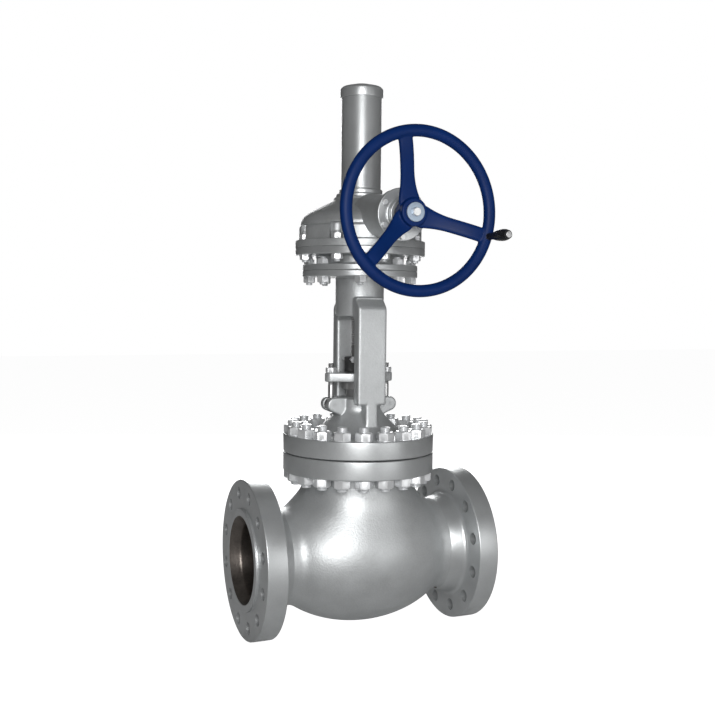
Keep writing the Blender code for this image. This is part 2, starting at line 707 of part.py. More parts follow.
def stuffing_box_parts(steel, bronze, graphite):
    """Back-seat bushing and packing rings inside the bonnet, and the gland follower above them."""
    stem_hole = STEM_R + RUN
    bushing = ring(stem_hole, BUSHING_R, BUSHING_FOOT_Z, BOX_FLOOR_Z - FIT, MID_ROUND)
    node("backseat_bushing", bushing, bronze)
    pitch = PACKING_H + FIT
    outer = BOX_BORE_R * cos(pi / SMALL_ROUND) - FIT
    for index in range(PACKING_COUNT):
        low = BOX_FLOOR_Z + FIT + index * pitch
        packing = ring(stem_hole, outer, low, low + PACKING_H, SMALL_ROUND)
        node(f"packing_ring_{index + 1}", packing, graphite)
    foot = BOX_FLOOR_Z + FIT + PACKING_COUNT * pitch
    follower = turned([
        (stem_hole, foot), (GLAND_SLEEVE_R, foot), (GLAND_SLEEVE_R, GLAND_COLLAR_Z),
        (GLAND_COLLAR_R, GLAND_COLLAR_Z), (GLAND_COLLAR_R, GLAND_FLANGE_Z - FIT),
        (stem_hole, GLAND_FLANGE_Z - FIT),
    ], SMALL_ROUND)
    node("gland_follower", follower, steel)


def gland_outline():
    """Plan of the gland flange: round waist round the stem and two round ends at the eyebolts."""
    waist = radians(50)
    end_steps, waist_steps = 6, 4
    right = [
        (LUG_HALF_X + GLAND_FLANGE_END_R * cos(a), GLAND_FLANGE_END_R * sin(a))
        for a in (-pi / 2 + pi * index / end_steps for index in range(end_steps + 1))
    ]
    upper = [
        (GLAND_FLANGE_WAIST_R * sin(a), GLAND_FLANGE_WAIST_R * cos(a))
        for a in (waist / 2 - waist * index / waist_steps for index in range(waist_steps + 1))
    ]
    left = [(-x, -y) for x, y in right]
    return right + upper + left + [(-x, -y) for x, y in upper]


def gland_parts(paint, zinc, steel):
    """Gland flange, and the eyebolts that pull it down, pinned in the bonnet's lugs."""
    top = GLAND_FLANGE_Z + GLAND_FLANGE_T
    plate = prism(gland_outline(), GLAND_FLANGE_Z, top)
    stem_hole = cylinder(STEM_R + RUN, GLAND_FLANGE_Z - STEM_R, top + STEM_R, SMALL_ROUND)
    sides = (-LUG_HALF_X, LUG_HALF_X)
    holes = [moved(cylinder(flat_round(EYEBOLT_R), GLAND_FLANGE_Z - STEM_R, top + STEM_R, BOLT_ROUND),
                   shift=(x, 0, 0)) for x in sides]
    node("gland_flange", cut(plate, gathered([stem_hole] + holes)), paint)

    nut_foot = top + FIT
    bolt_top = nut_foot + GLAND_NUT_H + EYEBOLT_END
    for side, x in zip(("left", "right"), sides):
        eye = along_front(cylinder(EYE_R, -EYE_T / 2, EYE_T / 2, PIN_ROUND))
        moved(eye, shift=(0, 0, LUG_Z))
        shank = cylinder(EYEBOLT_R, LUG_Z + EYEBOLT_ROOT, bolt_top, BOLT_ROUND)
        pin_hole = along_front(cylinder(flat_round(EYE_PIN_R), -EYE_T, EYE_T, BOLT_ROUND))
        eyebolt = moved(cut(fused(eye, shank), moved(pin_hole, shift=(0, 0, LUG_Z))), shift=(x, 0, 0))
        node(f"gland_eyebolt_{side}", eyebolt, steel)
        pin = along_front(cylinder(EYE_PIN_R, -LUG_HALF_Y, LUG_HALF_Y, BOLT_ROUND))
        node(f"eyebolt_pin_{side}", moved(pin, shift=(x, 0, LUG_Z)), steel)
        gland_nut = nut(GLAND_NUT_R, flat_round(EYEBOLT_R), nut_foot, nut_foot + GLAND_NUT_H)
        node(f"gland_nut_{side}", moved(gland_nut, shift=(x, 0, 0)), zinc)


def stem_and_disc(steel, seat_steel):
    """Rising stem, and the disc that swivels on its button end, held by the disc nut."""
    pocket_floor = SEAT_FACE_Z + FIT + DISC_T + DISC_BOSS_H - DISC_POCKET_DEPTH
    button = pocket_floor + PIVOT_GAP
    collar_top = BUSHING_FOOT_Z - LIFT - RUN
    collar_low = collar_top - STEM_COLLAR_H
    stem = turned([
        (0, button), (STEM_BUTTON_R, button), (STEM_BUTTON_R, button + STEM_BUTTON_T),
        (STEM_R, button + STEM_BUTTON_T), (STEM_R, collar_low), (STEM_COLLAR_R, collar_low + STEM_BUTTON_T),
        (STEM_COLLAR_R, collar_top - BACKSEAT_T), (STEM_R, collar_top),
        (STEM_R, STEM_TOP_Z - STEM_CHAMFER), (STEM_R - STEM_CHAMFER, STEM_TOP_Z), (0, STEM_TOP_Z),
    ], SMALL_ROUND)
    node("stem", stem, steel)

    low = SEAT_FACE_Z + FIT
    boss_top = low + DISC_T + DISC_BOSS_H
    pocket_r = DISC_NUT_R + FIT
    disc = turned([
        (0, low), (SEAT_BORE_R, low), (DISC_R, low + DISC_CHAMFER), (DISC_R, low + DISC_EDGE_T),
        (DISC_BOSS_R, low + DISC_T), (DISC_BOSS_R, boss_top), (pocket_r, boss_top),
        (pocket_r, pocket_floor), (0, pocket_floor),
    ], MID_ROUND)
    node("disc", disc, seat_steel, joint_origin=(0, 0, low))
    nut_low = button + STEM_BUTTON_T + PIVOT_GAP
    disc_nut = ring(STEM_R + RUN, DISC_NUT_R, nut_low, boss_top + DISC_NUT_END, MID_ROUND)
    node("disc_nut", disc_nut, steel, joint_origin=(0, 0, low))


def stem_guide(dark, zinc):
    """Split clamp on the stem, whose two arms slide along the yoke and stop the stem turning."""
    low, high = GUIDE_Z, GUIDE_Z + GUIDE_H
    reach = ARM_IN_Y - GUIDE_SLIDE_GAP
    collar = cylinder(GUIDE_R, low, high, SMALL_ROUND)
    arm = block((-GUIDE_ARM_HALF_X, GUIDE_ARM_HALF_X), (-reach, reach), (low, low + GUIDE_ARM_H))
    bore = cylinder(STEM_R + FIT, low - GUIDE_H, high + GUIDE_H, SMALL_ROUND)
    slit = block((-GUIDE_R * 2, 0), (-GUIDE_SCREW_R / 2, GUIDE_SCREW_R / 2),
                 (low - GUIDE_H, high + GUIDE_H))
    screw_x = -(STEM_R + GUIDE_R) / 2
    screw_z = high - GUIDE_SCREW_DROP

    def screw_space():
        space = cylinder(flat_round(GUIDE_SCREW_R), -GUIDE_R * 2, GUIDE_R * 2, BOLT_ROUND)
        return moved(along_front(space), shift=(screw_x, 0, screw_z))

    clamp = cut(fused(collar, arm), bore, slit, screw_space())
    node("stem_guide", clamp, dark)
    length = sqrt(GUIDE_R ** 2 - (screw_x + GUIDE_SCREW_HEAD_R) ** 2) + FIT
    screw = bolt(GUIDE_SCREW_R, GUIDE_SCREW_HEAD_R, length, length + GUIDE_SCREW_HEAD_T, -length)
    node("guide_screw", moved(along_front(screw), shift=(screw_x, 0, screw_z)), zinc)


def gear_case_base(paint):
    """Spool between yoke and cover: foot flange, drum and wide flange, hollow for the gear."""
    outer = turned([
        (0, CASE_FOOT_Z), (CASE_FOOT_R, CASE_FOOT_Z), (CASE_FOOT_R, CASE_DRUM_Z), (CASE_DRUM_R, CASE_DRUM_Z),
        (CASE_DRUM_R, CASE_FLANGE_Z), (CASE_FLANGE_R, CASE_FLANGE_Z), (CASE_FLANGE_R, CASE_JOINT_Z),
        (0, CASE_JOINT_Z),
    ], BIG_ROUND)
    seat_r = BEARING_OUT_R + FIT
    hollow = turned([
        (0, CASE_FOOT_Z - CASE_FOOT_T), (YOKE_HUB_BORE_R, CASE_FOOT_Z - CASE_FOOT_T),
        (YOKE_HUB_BORE_R, CASE_FOOT_Z + STEM_NUT_FOOT_LIFT),
        (STEM_NUT_R + RUN * 2, CASE_FOOT_Z + STEM_NUT_FOOT_LIFT),
        (STEM_NUT_R + RUN * 2, CASE_DRUM_Z), (seat_r, CASE_DRUM_Z), (seat_r, CASE_DRUM_Z + BEARING_H),
        (CASE_ROOM_R, CASE_DRUM_Z + BEARING_H + FIT), (COVER_ROOM_R, CASE_JOINT_Z),
        (COVER_ROOM_R, CASE_JOINT_Z + CASE_FLANGE_T), (0, CASE_JOINT_Z + CASE_FLANGE_T),
    ], MID_ROUND)

    mounting = case_nuts(CASE_DRUM_Z, True, MOUNT_BOLT_COUNT, MOUNT_BOLT_CIRCLE_R, pi / MOUNT_BOLT_COUNT)
    closing = case_nuts(CASE_FLANGE_Z, False, COVER_BOLT_COUNT, COVER_BOLT_CIRCLE_R, 0.0)
    return node("gear_case_base", fused(cut(outer, hollow), gathered([mounting, closing])), paint)


def dome_section():
    """Outer half-section of the cover from its flange up to the neck under the tube."""
    angles = [COVER_BEND_ANGLE * (step + 1) / COVER_BEND_STEPS for step in range(COVER_BEND_STEPS)]
    bend = [
        (COVER_WALL_R - COVER_BEND_R * (1 - cos(a)), COVER_BEND_Z + COVER_BEND_R * sin(a)) for a in angles
    ]
    return [
        (CASE_FLANGE_R, COVER_FOOT_Z), (CASE_FLANGE_R, COVER_FLANGE_TOP_Z),
        (COVER_SHOULDER_R, COVER_FLANGE_TOP_Z), (COVER_SHOULDER_R, COVER_SHOULDER_Z),
        (COVER_WALL_R, COVER_SHOULDER_Z + COVER_STEP_H), (COVER_WALL_R, COVER_BEND_Z),
    ] + bend + [(COVER_CONE_R, COVER_CONE_Z), (COVER_CONE_R, COVER_NECK_TOP_Z)]


def gear_case_cover(paint):
    """Domed cover with eight bolt pockets and the level barrel that holds the input shaft."""
    seat_z = bearing_top()
    outer = dome_section()
    shell = turned(outer + [(0, COVER_NECK_TOP_Z), (0, COVER_FOOT_Z)], BIG_ROUND)
    barrel = along_front(cylinder(BARREL_R, BARREL_START, -BARREL_FRONT_Y, MID_ROUND))
    shell = fused(shell, moved(barrel, shift=(0, 0, SHAFT_Z)))

    roof_r = COVER_ROOM_R - COVER_WALL_T
    room = turned([
        (0, COVER_FOOT_Z - CASE_FLANGE_T), (COVER_ROOM_R, COVER_FOOT_Z - CASE_FLANGE_T),
        (COVER_ROOM_R, COVER_BEND_Z), (roof_r, COVER_BEND_Z + COVER_WALL_T),
        (BEARING_OUT_R + COVER_WALL_T, COVER_ROOF_Z),
        (COVER_SEAT_R, seat_z + FIT), (BEARING_IN_R + RUN * 4, seat_z + FIT),
        (COVER_NECK_BORE_R, COVER_NECK_TOP_Z + COVER_WALL_T), (0, COVER_NECK_TOP_Z + COVER_WALL_T),
    ], MID_ROUND)
    barrel_bore = cylinder(BARREL_BORE_R, pinion_toe() - RUN * 2, -BARREL_FRONT_Y + CUT_PAST, MID_ROUND)
    barrel_bore = along_front(barrel_bore)
    pockets = circle_pattern(
        lambda: cylinder(COVER_POCKET_R, COVER_FLANGE_TOP_Z, COVER_POCKET_Z, POCKET_ROUND),
        COVER_BOLT_COUNT, COVER_BOLT_CIRCLE_R)
    shell = cut(shell, room, moved(barrel_bore, shift=(0, 0, SHAFT_Z)), pockets)
    closing = case_nuts(COVER_FLANGE_TOP_Z, True, COVER_BOLT_COUNT, COVER_BOLT_CIRCLE_R, 0.0)
    return node("gear_case_cover", fused(shell, closing), paint)


def gear_cones():
    """Pitch cone angles of pinion and gear, whose axes cross at a right angle."""
    pinion = atan(PINION_TEETH / GEAR_TEETH)
    return pinion, pi / 2 - pinion


def involute(angle):
    return tan(angle) - angle


def tooth_gap(teeth, pitch_r, cone, depth, addendum, steps):
    """Space between two teeth of a bevel wheel about Z whose cone's point is at the origin.

    The flanks are involutes of the round wheel that the back cone unrolls to, and run
    on straight past the tips.
    """
    module = 2 * pitch_r / teeth
    flat_r = pitch_r / cos(cone)
    base_r = flat_r * cos(PRESSURE_ANGLE)
    half_at_pitch = (pi * module / 4 - BACKLASH / 2) / flat_r

    def half_tooth(height):
        reach = max(flat_r + min(height, addendum), base_r)
        return half_at_pitch + involute(PRESSURE_ANGLE) - involute(acos(base_r / reach))

    heights = [addendum + TOOTH_OVERRUN * module]
    heights += [addendum - (addendum + depth) * index / steps for index in range(steps + 1)]
    side = [(pi / teeth - half_tooth(height) / cos(cone), height) for height in heights]
    outline = [(-angle, height) for angle, height in side] + side[::-1]
    length = pitch_r / sin(cone)
    rings = []
    past = TOOTH_OVERRUN * TOOTH_WIDTH / length
    for scale in (1 + past, 1 - TOOTH_WIDTH / length - past):
        rings.append([
            (scale * (pitch_r + height * cos(cone)) * cos(angle),
             scale * (pitch_r + height * cos(cone)) * sin(angle),
             scale * (height * sin(cone) - pitch_r / tan(cone)))
            for angle, height in outline
        ])
    return lofted(rings)


def bevel_blank_points(pitch_r, cone, addendum):
    """Tip circle (radius, height) of a blank at the heel and at the toe."""
    length = pitch_r / sin(cone)
    toe = 1 - TOOTH_WIDTH / length
    tip = (pitch_r + addendum * cos(cone), addendum * sin(cone) - pitch_r / tan(cone))
    return tip, (tip[0] * toe, tip[1] * toe)


def gear_module():
    return 2 * GEAR_PITCH_R / GEAR_TEETH


def pinion_toe():
    """How far the pinion's toe lies from the stem axis."""
    pinion_cone = gear_cones()[0]
    toe = bevel_blank_points(PINION_PITCH_R, pinion_cone, gear_module() * PINION_ADDENDUM)[1]
    return -toe[1] - PIVOT_GAP * 6


def bearing_top():
    """Top of the bearing on the gear's hub."""
    return stem_nut_shelf() + GEAR_HUB_H + BEARING_H + FIT


def stem_nut_shelf():
    """Top of the stem nut's flange, which carries the gear."""
    return CASE_DRUM_Z + FIT + BEARING_H + FIT + STEM_NUT_FLANGE_T


def bevel_gear(steel, bronze):
    """Bevel gear keyed to the stem nut and standing on its flange, between two thrust bearings."""
    module = gear_module()
    cone = gear_cones()[1]
    heel, toe = bevel_blank_points(GEAR_PITCH_R, cone, module * GEAR_ADDENDUM)
    depth = module * (PINION_ADDENDUM + TOOTH_ROOT_GAP)
    root_drop = (depth + module * GEAR_ADDENDUM) * sin(cone)
    shelf = stem_nut_shelf() - SHAFT_Z
    bore = STEM_NUT_R + FIT
    back = heel[1] - root_drop - GEAR_BACK_T
    blank = turned([
        (bore, shelf + FIT), (STEM_NUT_FLANGE_R, shelf + FIT), (heel[0] - GEAR_BACK_T, back),
        (heel[0] - depth * cos(cone), heel[1] - root_drop), heel, toe,
        (toe[0] - module * GEAR_LIP, toe[1] - root_drop * GEAR_DISH),
        (BEARING_OUT_R, shelf + GEAR_HUB_H), (bore, shelf + GEAR_HUB_H),
    ], GEAR_TEETH)
    gaps = []
    for index in range(GEAR_TEETH):
        gap = tooth_gap(GEAR_TEETH, GEAR_PITCH_R, cone, depth, module * GEAR_ADDENDUM, 1)
        gaps.append(moved(gap, turn=2 * pi * index / GEAR_TEETH - pi / 2))
    centre = (0, 0, SHAFT_Z)
    gear = moved(cut(blank, gathered(gaps)), shift=centre)
    low, high = stem_nut_shelf() - STEM_NUT_FLANGE_T, stem_nut_shelf()

    def key_space(gap):
        return block((STEM_NUT_R - KEY_H - gap, STEM_NUT_R + KEY_H + gap),
                     (-KEY_W / 2 - gap, KEY_W / 2 + gap), (high + RUN - gap, high + GEAR_HUB_H + gap))

    node("bevel_gear", cut(gear, key_space(FIT)), steel, joint_origin=centre)
    node("gear_key", key_space(0), steel, joint_origin=centre)

    foot = CASE_FOOT_Z + STEM_NUT_FOOT_LIFT + FIT + RUN
    sleeve = turned([
        (STEM_R + RUN, foot), (STEM_NUT_R, foot), (STEM_NUT_R, low),
        (STEM_NUT_FLANGE_R, low), (STEM_NUT_FLANGE_R, high), (STEM_NUT_R, high),
        (STEM_NUT_R, STEM_NUT_TOP_Z), (STEM_R + RUN, STEM_NUT_TOP_Z),
    ], MID_ROUND)
    node("stem_nut", cut(sleeve, key_space(FIT)), bronze, joint_origin=centre)

    for name, foot in (("lower", CASE_DRUM_Z + FIT), ("upper", bearing_top() - BEARING_H)):
        bearing = ring(BEARING_IN_R, BEARING_OUT_R, foot, foot + BEARING_H, MID_ROUND)
        node(f"thrust_bearing_{name}", bearing, steel)


def input_shaft(steel, rubber, paint, zinc):
    """Pinion and keyed shaft in the cover's barrel: two bearings, a cap with its screws, a seal."""
    module = gear_module()
    cone = gear_cones()[0]
    heel, toe = bevel_blank_points(PINION_PITCH_R, cone, module * PINION_ADDENDUM)
    depth = module * (GEAR_ADDENDUM + TOOTH_ROOT_GAP)
    bore = SHAFT_R + FIT
    back = heel[1] - module
    blank = turned([
        (bore, back), (PINION_BACK_R, back), (heel[0] - module, heel[1] - module * PINION_CHAMFER), heel, toe,
        (bore + module * PINION_CHAMFER, toe[1] + PIVOT_GAP), (bore, toe[1] + PIVOT_GAP),
    ], PINION_TEETH * 2)
    gaps = []
    for index in range(PINION_TEETH):
        gap = tooth_gap(PINION_TEETH, PINION_PITCH_R, cone, depth, module * PINION_ADDENDUM, 3)
        gaps.append(moved(gap, turn=2 * pi * (index + 0.5) / PINION_TEETH))
    pinion = cut(blank, gathered(gaps))
    centre = (0, 0, SHAFT_Z)

    def laid(shape):
        """Turn a shape made about Z, cone's point up, so that it points back along +Y, tooth down."""
        moved(shape, turn=pi / 2)
        return moved(moved(shape, turn=-pi / 2, axis="X"), shift=centre)

    key_top = SHAFT_R + KEY_H

    def key_space(low, high, gap):
        half = KEY_W / 2 + gap
        return block((SHAFT_R - KEY_H - gap, key_top + gap), (-half, half), (low, high))

    pinion = laid(cut(pinion, key_space(back - module, 0, FIT)))
    node("bevel_pinion", pinion, steel, joint_origin=centre)

    shaft_in = toe[1] + PIVOT_GAP
    wheel_back = WHEEL_HUB_FRONT_Y + WHEEL_HUB_LENGTH
    shaft_out = WHEEL_HUB_FRONT_Y + RUN
    screw_end = WHEEL_HUB_FRONT_Y + HUB_SCREW_LENGTH
    shaft = turned([
        (0, shaft_in), (SHAFT_R, shaft_in), (SHAFT_R, wheel_back + RUN), (SHAFT_END_R, wheel_back + RUN),
        (SHAFT_END_R, shaft_out), (flat_round(HUB_SCREW_R), shaft_out),
        (flat_round(HUB_SCREW_R), screw_end + RUN), (0, screw_end + RUN),
    ], SMALL_ROUND)
    wheel_key_in = SHAFT_END_R - KEY_H

    def wheel_key_space(gap):
        return block((wheel_key_in - gap, SHAFT_END_R + KEY_H + gap),
                     (-KEY_W / 2 - gap, KEY_W / 2 + gap), (shaft_out, wheel_back - KEY_W + gap))

    shaft = cut(shaft, key_space(back, toe[1], FIT), wheel_key_space(FIT))
    node("input_shaft", laid(shaft), steel, joint_origin=centre)
    pinion_key = key_space(back + FIT, toe[1] - FIT, 0)
    node("pinion_key", laid(pinion_key), steel, joint_origin=centre)
    wheel_key = block((wheel_key_in, SHAFT_END_R + KEY_H), (-KEY_W / 2, KEY_W / 2),
                      (shaft_out + FIT, wheel_back - KEY_W))
    node("wheel_key", laid(wheel_key), steel, joint_origin=centre)

    bearing_r = BARREL_BORE_R - FIT
    for name, front in (("inner", back - RUN - PINION_BEARING_T), ("outer", BARREL_FRONT_Y + FIT)):
        bearing = ring(SHAFT_R + RUN, bearing_r, front, front + PINION_BEARING_T - FIT, MID_ROUND)
        node(f"pinion_bearing_{name}", laid(bearing), steel)

    cap_back = BARREL_FRONT_Y - FIT
    cap_front = cap_back - CAP_T
    boss_front = cap_front - CAP_BOSS_T
    shaft_hole = SHAFT_R + RUN * 2
    seal_seat = boss_front + SEAL_T
    cap = turned([
        (shaft_hole, cap_back), (CAP_R, cap_back), (CAP_R, cap_front), (CAP_BOSS_R, cap_front),
        (CAP_BOSS_R, boss_front), (SEAL_R + FIT, boss_front), (SEAL_R + FIT, seal_seat),
        (shaft_hole, seal_seat),
    ], MID_ROUND)
    screw_head = cap_front - CAP_SCREW_HEAD_T
    cap = cut(cap, circle_pattern(
        lambda: cylinder(flat_round(CAP_SCREW_R), cap_front - CAP_T, cap_back + CAP_T, BOLT_ROUND),
        CAP_SCREW_COUNT, CAP_SCREW_CIRCLE_R))
    node("bearing_cap", laid(cap), paint)
    seal = ring(SHAFT_R + RUN, SEAL_R, boss_front + FIT, seal_seat - FIT, MID_ROUND)
    node("shaft_seal", laid(seal), rubber)
    for index in range(CAP_SCREW_COUNT):
        screw = bolt(CAP_SCREW_R, CAP_SCREW_HEAD_R, screw_head, cap_front - FIT, cap_back - FIT)
        moved(screw, shift=(CAP_SCREW_CIRCLE_R, 0, 0))
        moved(screw, turn=2 * pi * index / CAP_SCREW_COUNT)
        node(f"cap_screw_{index + 1}", laid(screw), zinc)


def spoke(angle):
    """One arm of the handwheel, as ovals carried from the hub out to the rim; -Y faces out."""
    hub_y = WHEEL_HUB_FRONT_Y + WHEEL_HUB_LENGTH / 2
    corners = [2 * pi * (index + 0.5) / SPOKE_ROUND for index in range(SPOKE_ROUND)]
    spread = cos(pi / SPOKE_ROUND)
    rings = []
    for reach in (SPOKE_START_R, WHEEL_HUB_R, SPOKE_WAIST_R, SPOKE_EVEN_R, WHEEL_RIM_R):
        share = (reach - SPOKE_START_R) / (WHEEL_RIM_R - SPOKE_START_R)
        flare = max(0.0, 1 - (reach - WHEEL_HUB_R) / (SPOKE_EVEN_R - WHEEL_HUB_R))
        width = SPOKE_W + (SPOKE_ROOT_W - SPOKE_W) * min(1.0, flare) ** 2
        depth = hub_y + (WHEEL_RIM_Y - hub_y) * (3 * share ** 2 - 2 * share ** 3)
        rings.append([
            (reach, depth + SPOKE_T / 2 * sin(a) / spread, width / 2 * cos(a) / spread) for a in corners
        ])
    arm = lofted(rings)
    return moved(arm, turn=-angle, axis="Y")


def handwheel(blue, steel, zinc, black):
    """Dished three-spoke wheel, its hub screw and washer, and the handle that spins on its bolt."""
    centre = (0, 0, SHAFT_Z)
    section = [
        (WHEEL_RIM_R + RIM_HALF_W * cos(a), -WHEEL_RIM_Y + RIM_HALF_T * sin(a))
        for a in (2 * pi * (index + 0.5) / RIM_ROUND for index in range(RIM_ROUND))
    ]
    rim = along_front(turned(section, BIG_ROUND))
    hub_front = -WHEEL_HUB_FRONT_Y
    hub = along_front(cylinder(WHEEL_HUB_R, hub_front - WHEEL_HUB_LENGTH, hub_front, MID_ROUND))
    spokes = [spoke(SPOKE_PHASE + 2 * pi * index / SPOKE_COUNT) for index in range(SPOKE_COUNT)]
    wheel = fused(rim, hub, *spokes)
    handle_x = WHEEL_RIM_R * cos(SPOKE_PHASE)
    handle_z = WHEEL_RIM_R * sin(SPOKE_PHASE)

    def on_handle_axis(shape):
        return moved(along_front(shape), shift=(handle_x, 0, handle_z))

    bore = along_front(cylinder(SHAFT_END_R + FIT, 0, -WHEEL_RIM_Y * 2, SMALL_ROUND))
    rim_front = -WHEEL_RIM_Y + RIM_HALF_T * cos(pi / RIM_ROUND)
    keyway = block((SHAFT_END_R - KEY_H, SHAFT_END_R + KEY_H + FIT), (WHEEL_RIM_Y, 0),
                   (-KEY_W / 2 - FIT, KEY_W / 2 + FIT))
    keyway = moved(keyway, turn=pi / 2, axis="Y")
    bolt_hole = cylinder(HANDLE_BOLT_R + RUN, -WHEEL_RIM_Y - CUT_PAST, rim_front + CUT_PAST, PIN_ROUND)
    wheel = cut(wheel, bore, keyway, on_handle_axis(bolt_hole))
    node("handwheel", moved(wheel, shift=centre), blue, joint_origin=centre)

    face = hub_front + FIT
    washer = ring(flat_round(HUB_SCREW_R), HUB_WASHER_R, face, face + HUB_WASHER_T, SMALL_ROUND)
    node("hub_washer", moved(along_front(washer), shift=centre), zinc, joint_origin=centre)
    head = face + HUB_WASHER_T + FIT
    screw = bolt(HUB_SCREW_R, HUB_SCREW_HEAD_R, head, head + HUB_SCREW_HEAD_H, hub_front - HUB_SCREW_LENGTH)
    node("hub_screw", moved(along_front(screw), shift=centre), zinc, joint_origin=centre)

    handle_centre = (handle_x, 0, SHAFT_Z + handle_z)
    collar_low = rim_front + FIT
    collar_high = collar_low + HANDLE_COLLAR_T
    grip_low = collar_high + PIVOT_GAP
    grip_high = grip_low + HANDLE_LENGTH
    bolt_end = -WHEEL_RIM_Y - HANDLE_BOLT_SEAT
    head_low = grip_high + PIVOT_GAP
    head_high = head_low + HANDLE_HEAD_T
    bolt_shape = turned([
        (0, bolt_end), (HANDLE_BOLT_R, bolt_end), (HANDLE_BOLT_R, collar_low),
        (HANDLE_COLLAR_R, collar_low), (HANDLE_COLLAR_R, collar_high), (HANDLE_BOLT_R, collar_high),
        (HANDLE_BOLT_R, head_low), (HANDLE_HEAD_R, head_low), (HANDLE_HEAD_R, head_high), (0, head_high),
    ], PIN_ROUND)
    bolt_shape = moved(along_front(bolt_shape), shift=handle_centre)
    node("handle_bolt", bolt_shape, steel, joint_origin=centre)
    hole = HANDLE_BOLT_R + RUN
    swell = [(radius, grip_low + HANDLE_LENGTH * share) for share, radius in HANDLE_SWELL]
    grip = turned([(hole, grip_low)] + swell + [(hole, grip_high)], PIN_ROUND)
    grip = moved(along_front(grip), shift=handle_centre)
    node("handle_grip", grip, black, joint_origin=handle_centre)


def stem_cover(paint):
    """Tube over the rising stem, on a collar held by a ring, closed by a chamfered cap."""
    foot = COVER_NECK_TOP_Z + FIT
    collar_low = foot + LOCK_RING_H + FIT
    inner = TUBE_R - TUBE_WALL
    lock = ring(TUBE_R + RUN, LOCK_RING_R, foot, foot + LOCK_RING_H, BIG_ROUND)
    node("tube_lock_ring", lock, paint)
    tube = turned([
        (inner, foot), (TUBE_R, foot), (TUBE_R, collar_low), (TUBE_COLLAR_R, collar_low),
        (TUBE_COLLAR_R, collar_low + TUBE_COLLAR_H), (TUBE_R, collar_low + TUBE_COLLAR_H),
        (TUBE_R, TUBE_TOP_Z), (inner, TUBE_TOP_Z),
    ], MID_ROUND)
    node("stem_cover_tube", tube, paint)
    top = TUBE_CAP_Z + TUBE_CAP_H
    socket = TUBE_R + FIT
    plug_foot = TUBE_TOP_Z + FIT
    cap = turned([
        (0, plug_foot), (socket, plug_foot), (socket, TUBE_CAP_Z), (TUBE_CAP_R, TUBE_CAP_Z),
        (TUBE_CAP_R, top - TUBE_CAP_CHAMFER), (TUBE_CAP_R - TUBE_CAP_CHAMFER, top),
        (TUBE_PLUG_R, top), (TUBE_PLUG_R - TUBE_PLUG_H / 2, top + TUBE_PLUG_H), (0, top + TUBE_PLUG_H),
    ], MID_ROUND)
    node("tube_cap", cap, paint)


def main():
    clear_scene()
    paint = material("silver_paint", (0.42, 0.43, 0.43), 0.42, 0.55)
    zinc = material("zinc_plate", (0.72, 0.73, 0.74), 0.32, 0.9)
    steel = material("bright_steel", (0.55, 0.55, 0.55), 0.3, 1.0)
    seat_steel = material("hard_facing", (0.50, 0.49, 0.47), 0.25, 1.0)
    bronze = material("bronze", (0.50, 0.33, 0.14), 0.35, 1.0)
    graphite = material("graphite", (0.03, 0.03, 0.03), 0.7, 0.0)
    rubber = material("seal_rubber", (0.02, 0.02, 0.02), 0.6, 0.0)
    dark = material("dark_steel", (0.10, 0.10, 0.10), 0.45, 0.6)
    blue = material("blue_paint", (0.0, 0.03, 0.27), 0.3, 0.0)
    black = material("black_plastic", (0.01, 0.01, 0.01), 0.35, 0.0)

    valve_body(paint)
    seat_ring(seat_steel)
    bonnet_gasket(graphite)
    bonnet_yoke(paint)
    stuffing_box_parts(steel, bronze, graphite)
    gland_parts(paint, zinc, steel)
    stem_and_disc(steel, seat_steel)
    stem_guide(dark, zinc)
    gear_case_base(paint)
    gear_case_cover(paint)
    bevel_gear(steel, bronze)
    input_shaft(steel, rubber, paint, zinc)
    handwheel(blue, steel, zinc, black)
    stem_cover(paint)


main()
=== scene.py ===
import json

import bmesh
import bpy
import numpy as np
from mathutils import Matrix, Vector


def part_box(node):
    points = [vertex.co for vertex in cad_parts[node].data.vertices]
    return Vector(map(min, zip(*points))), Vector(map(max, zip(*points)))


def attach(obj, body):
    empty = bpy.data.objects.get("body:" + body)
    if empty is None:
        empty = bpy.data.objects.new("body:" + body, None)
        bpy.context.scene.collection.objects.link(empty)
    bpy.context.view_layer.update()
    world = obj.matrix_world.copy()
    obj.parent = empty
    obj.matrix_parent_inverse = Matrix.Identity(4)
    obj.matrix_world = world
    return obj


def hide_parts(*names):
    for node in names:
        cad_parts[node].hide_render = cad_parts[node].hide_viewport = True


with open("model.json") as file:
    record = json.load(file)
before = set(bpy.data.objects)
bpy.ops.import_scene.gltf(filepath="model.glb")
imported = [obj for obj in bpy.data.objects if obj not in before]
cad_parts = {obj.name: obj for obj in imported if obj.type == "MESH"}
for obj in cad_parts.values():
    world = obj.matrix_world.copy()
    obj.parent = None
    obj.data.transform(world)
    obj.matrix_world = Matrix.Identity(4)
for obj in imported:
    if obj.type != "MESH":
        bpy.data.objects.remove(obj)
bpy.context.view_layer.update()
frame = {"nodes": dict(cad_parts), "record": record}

# Sizes are in metres: X along the pipe, -Y to the handwheel, Z up the stem

# Clearance between pieces that seat on each other
GAP = 0.0003

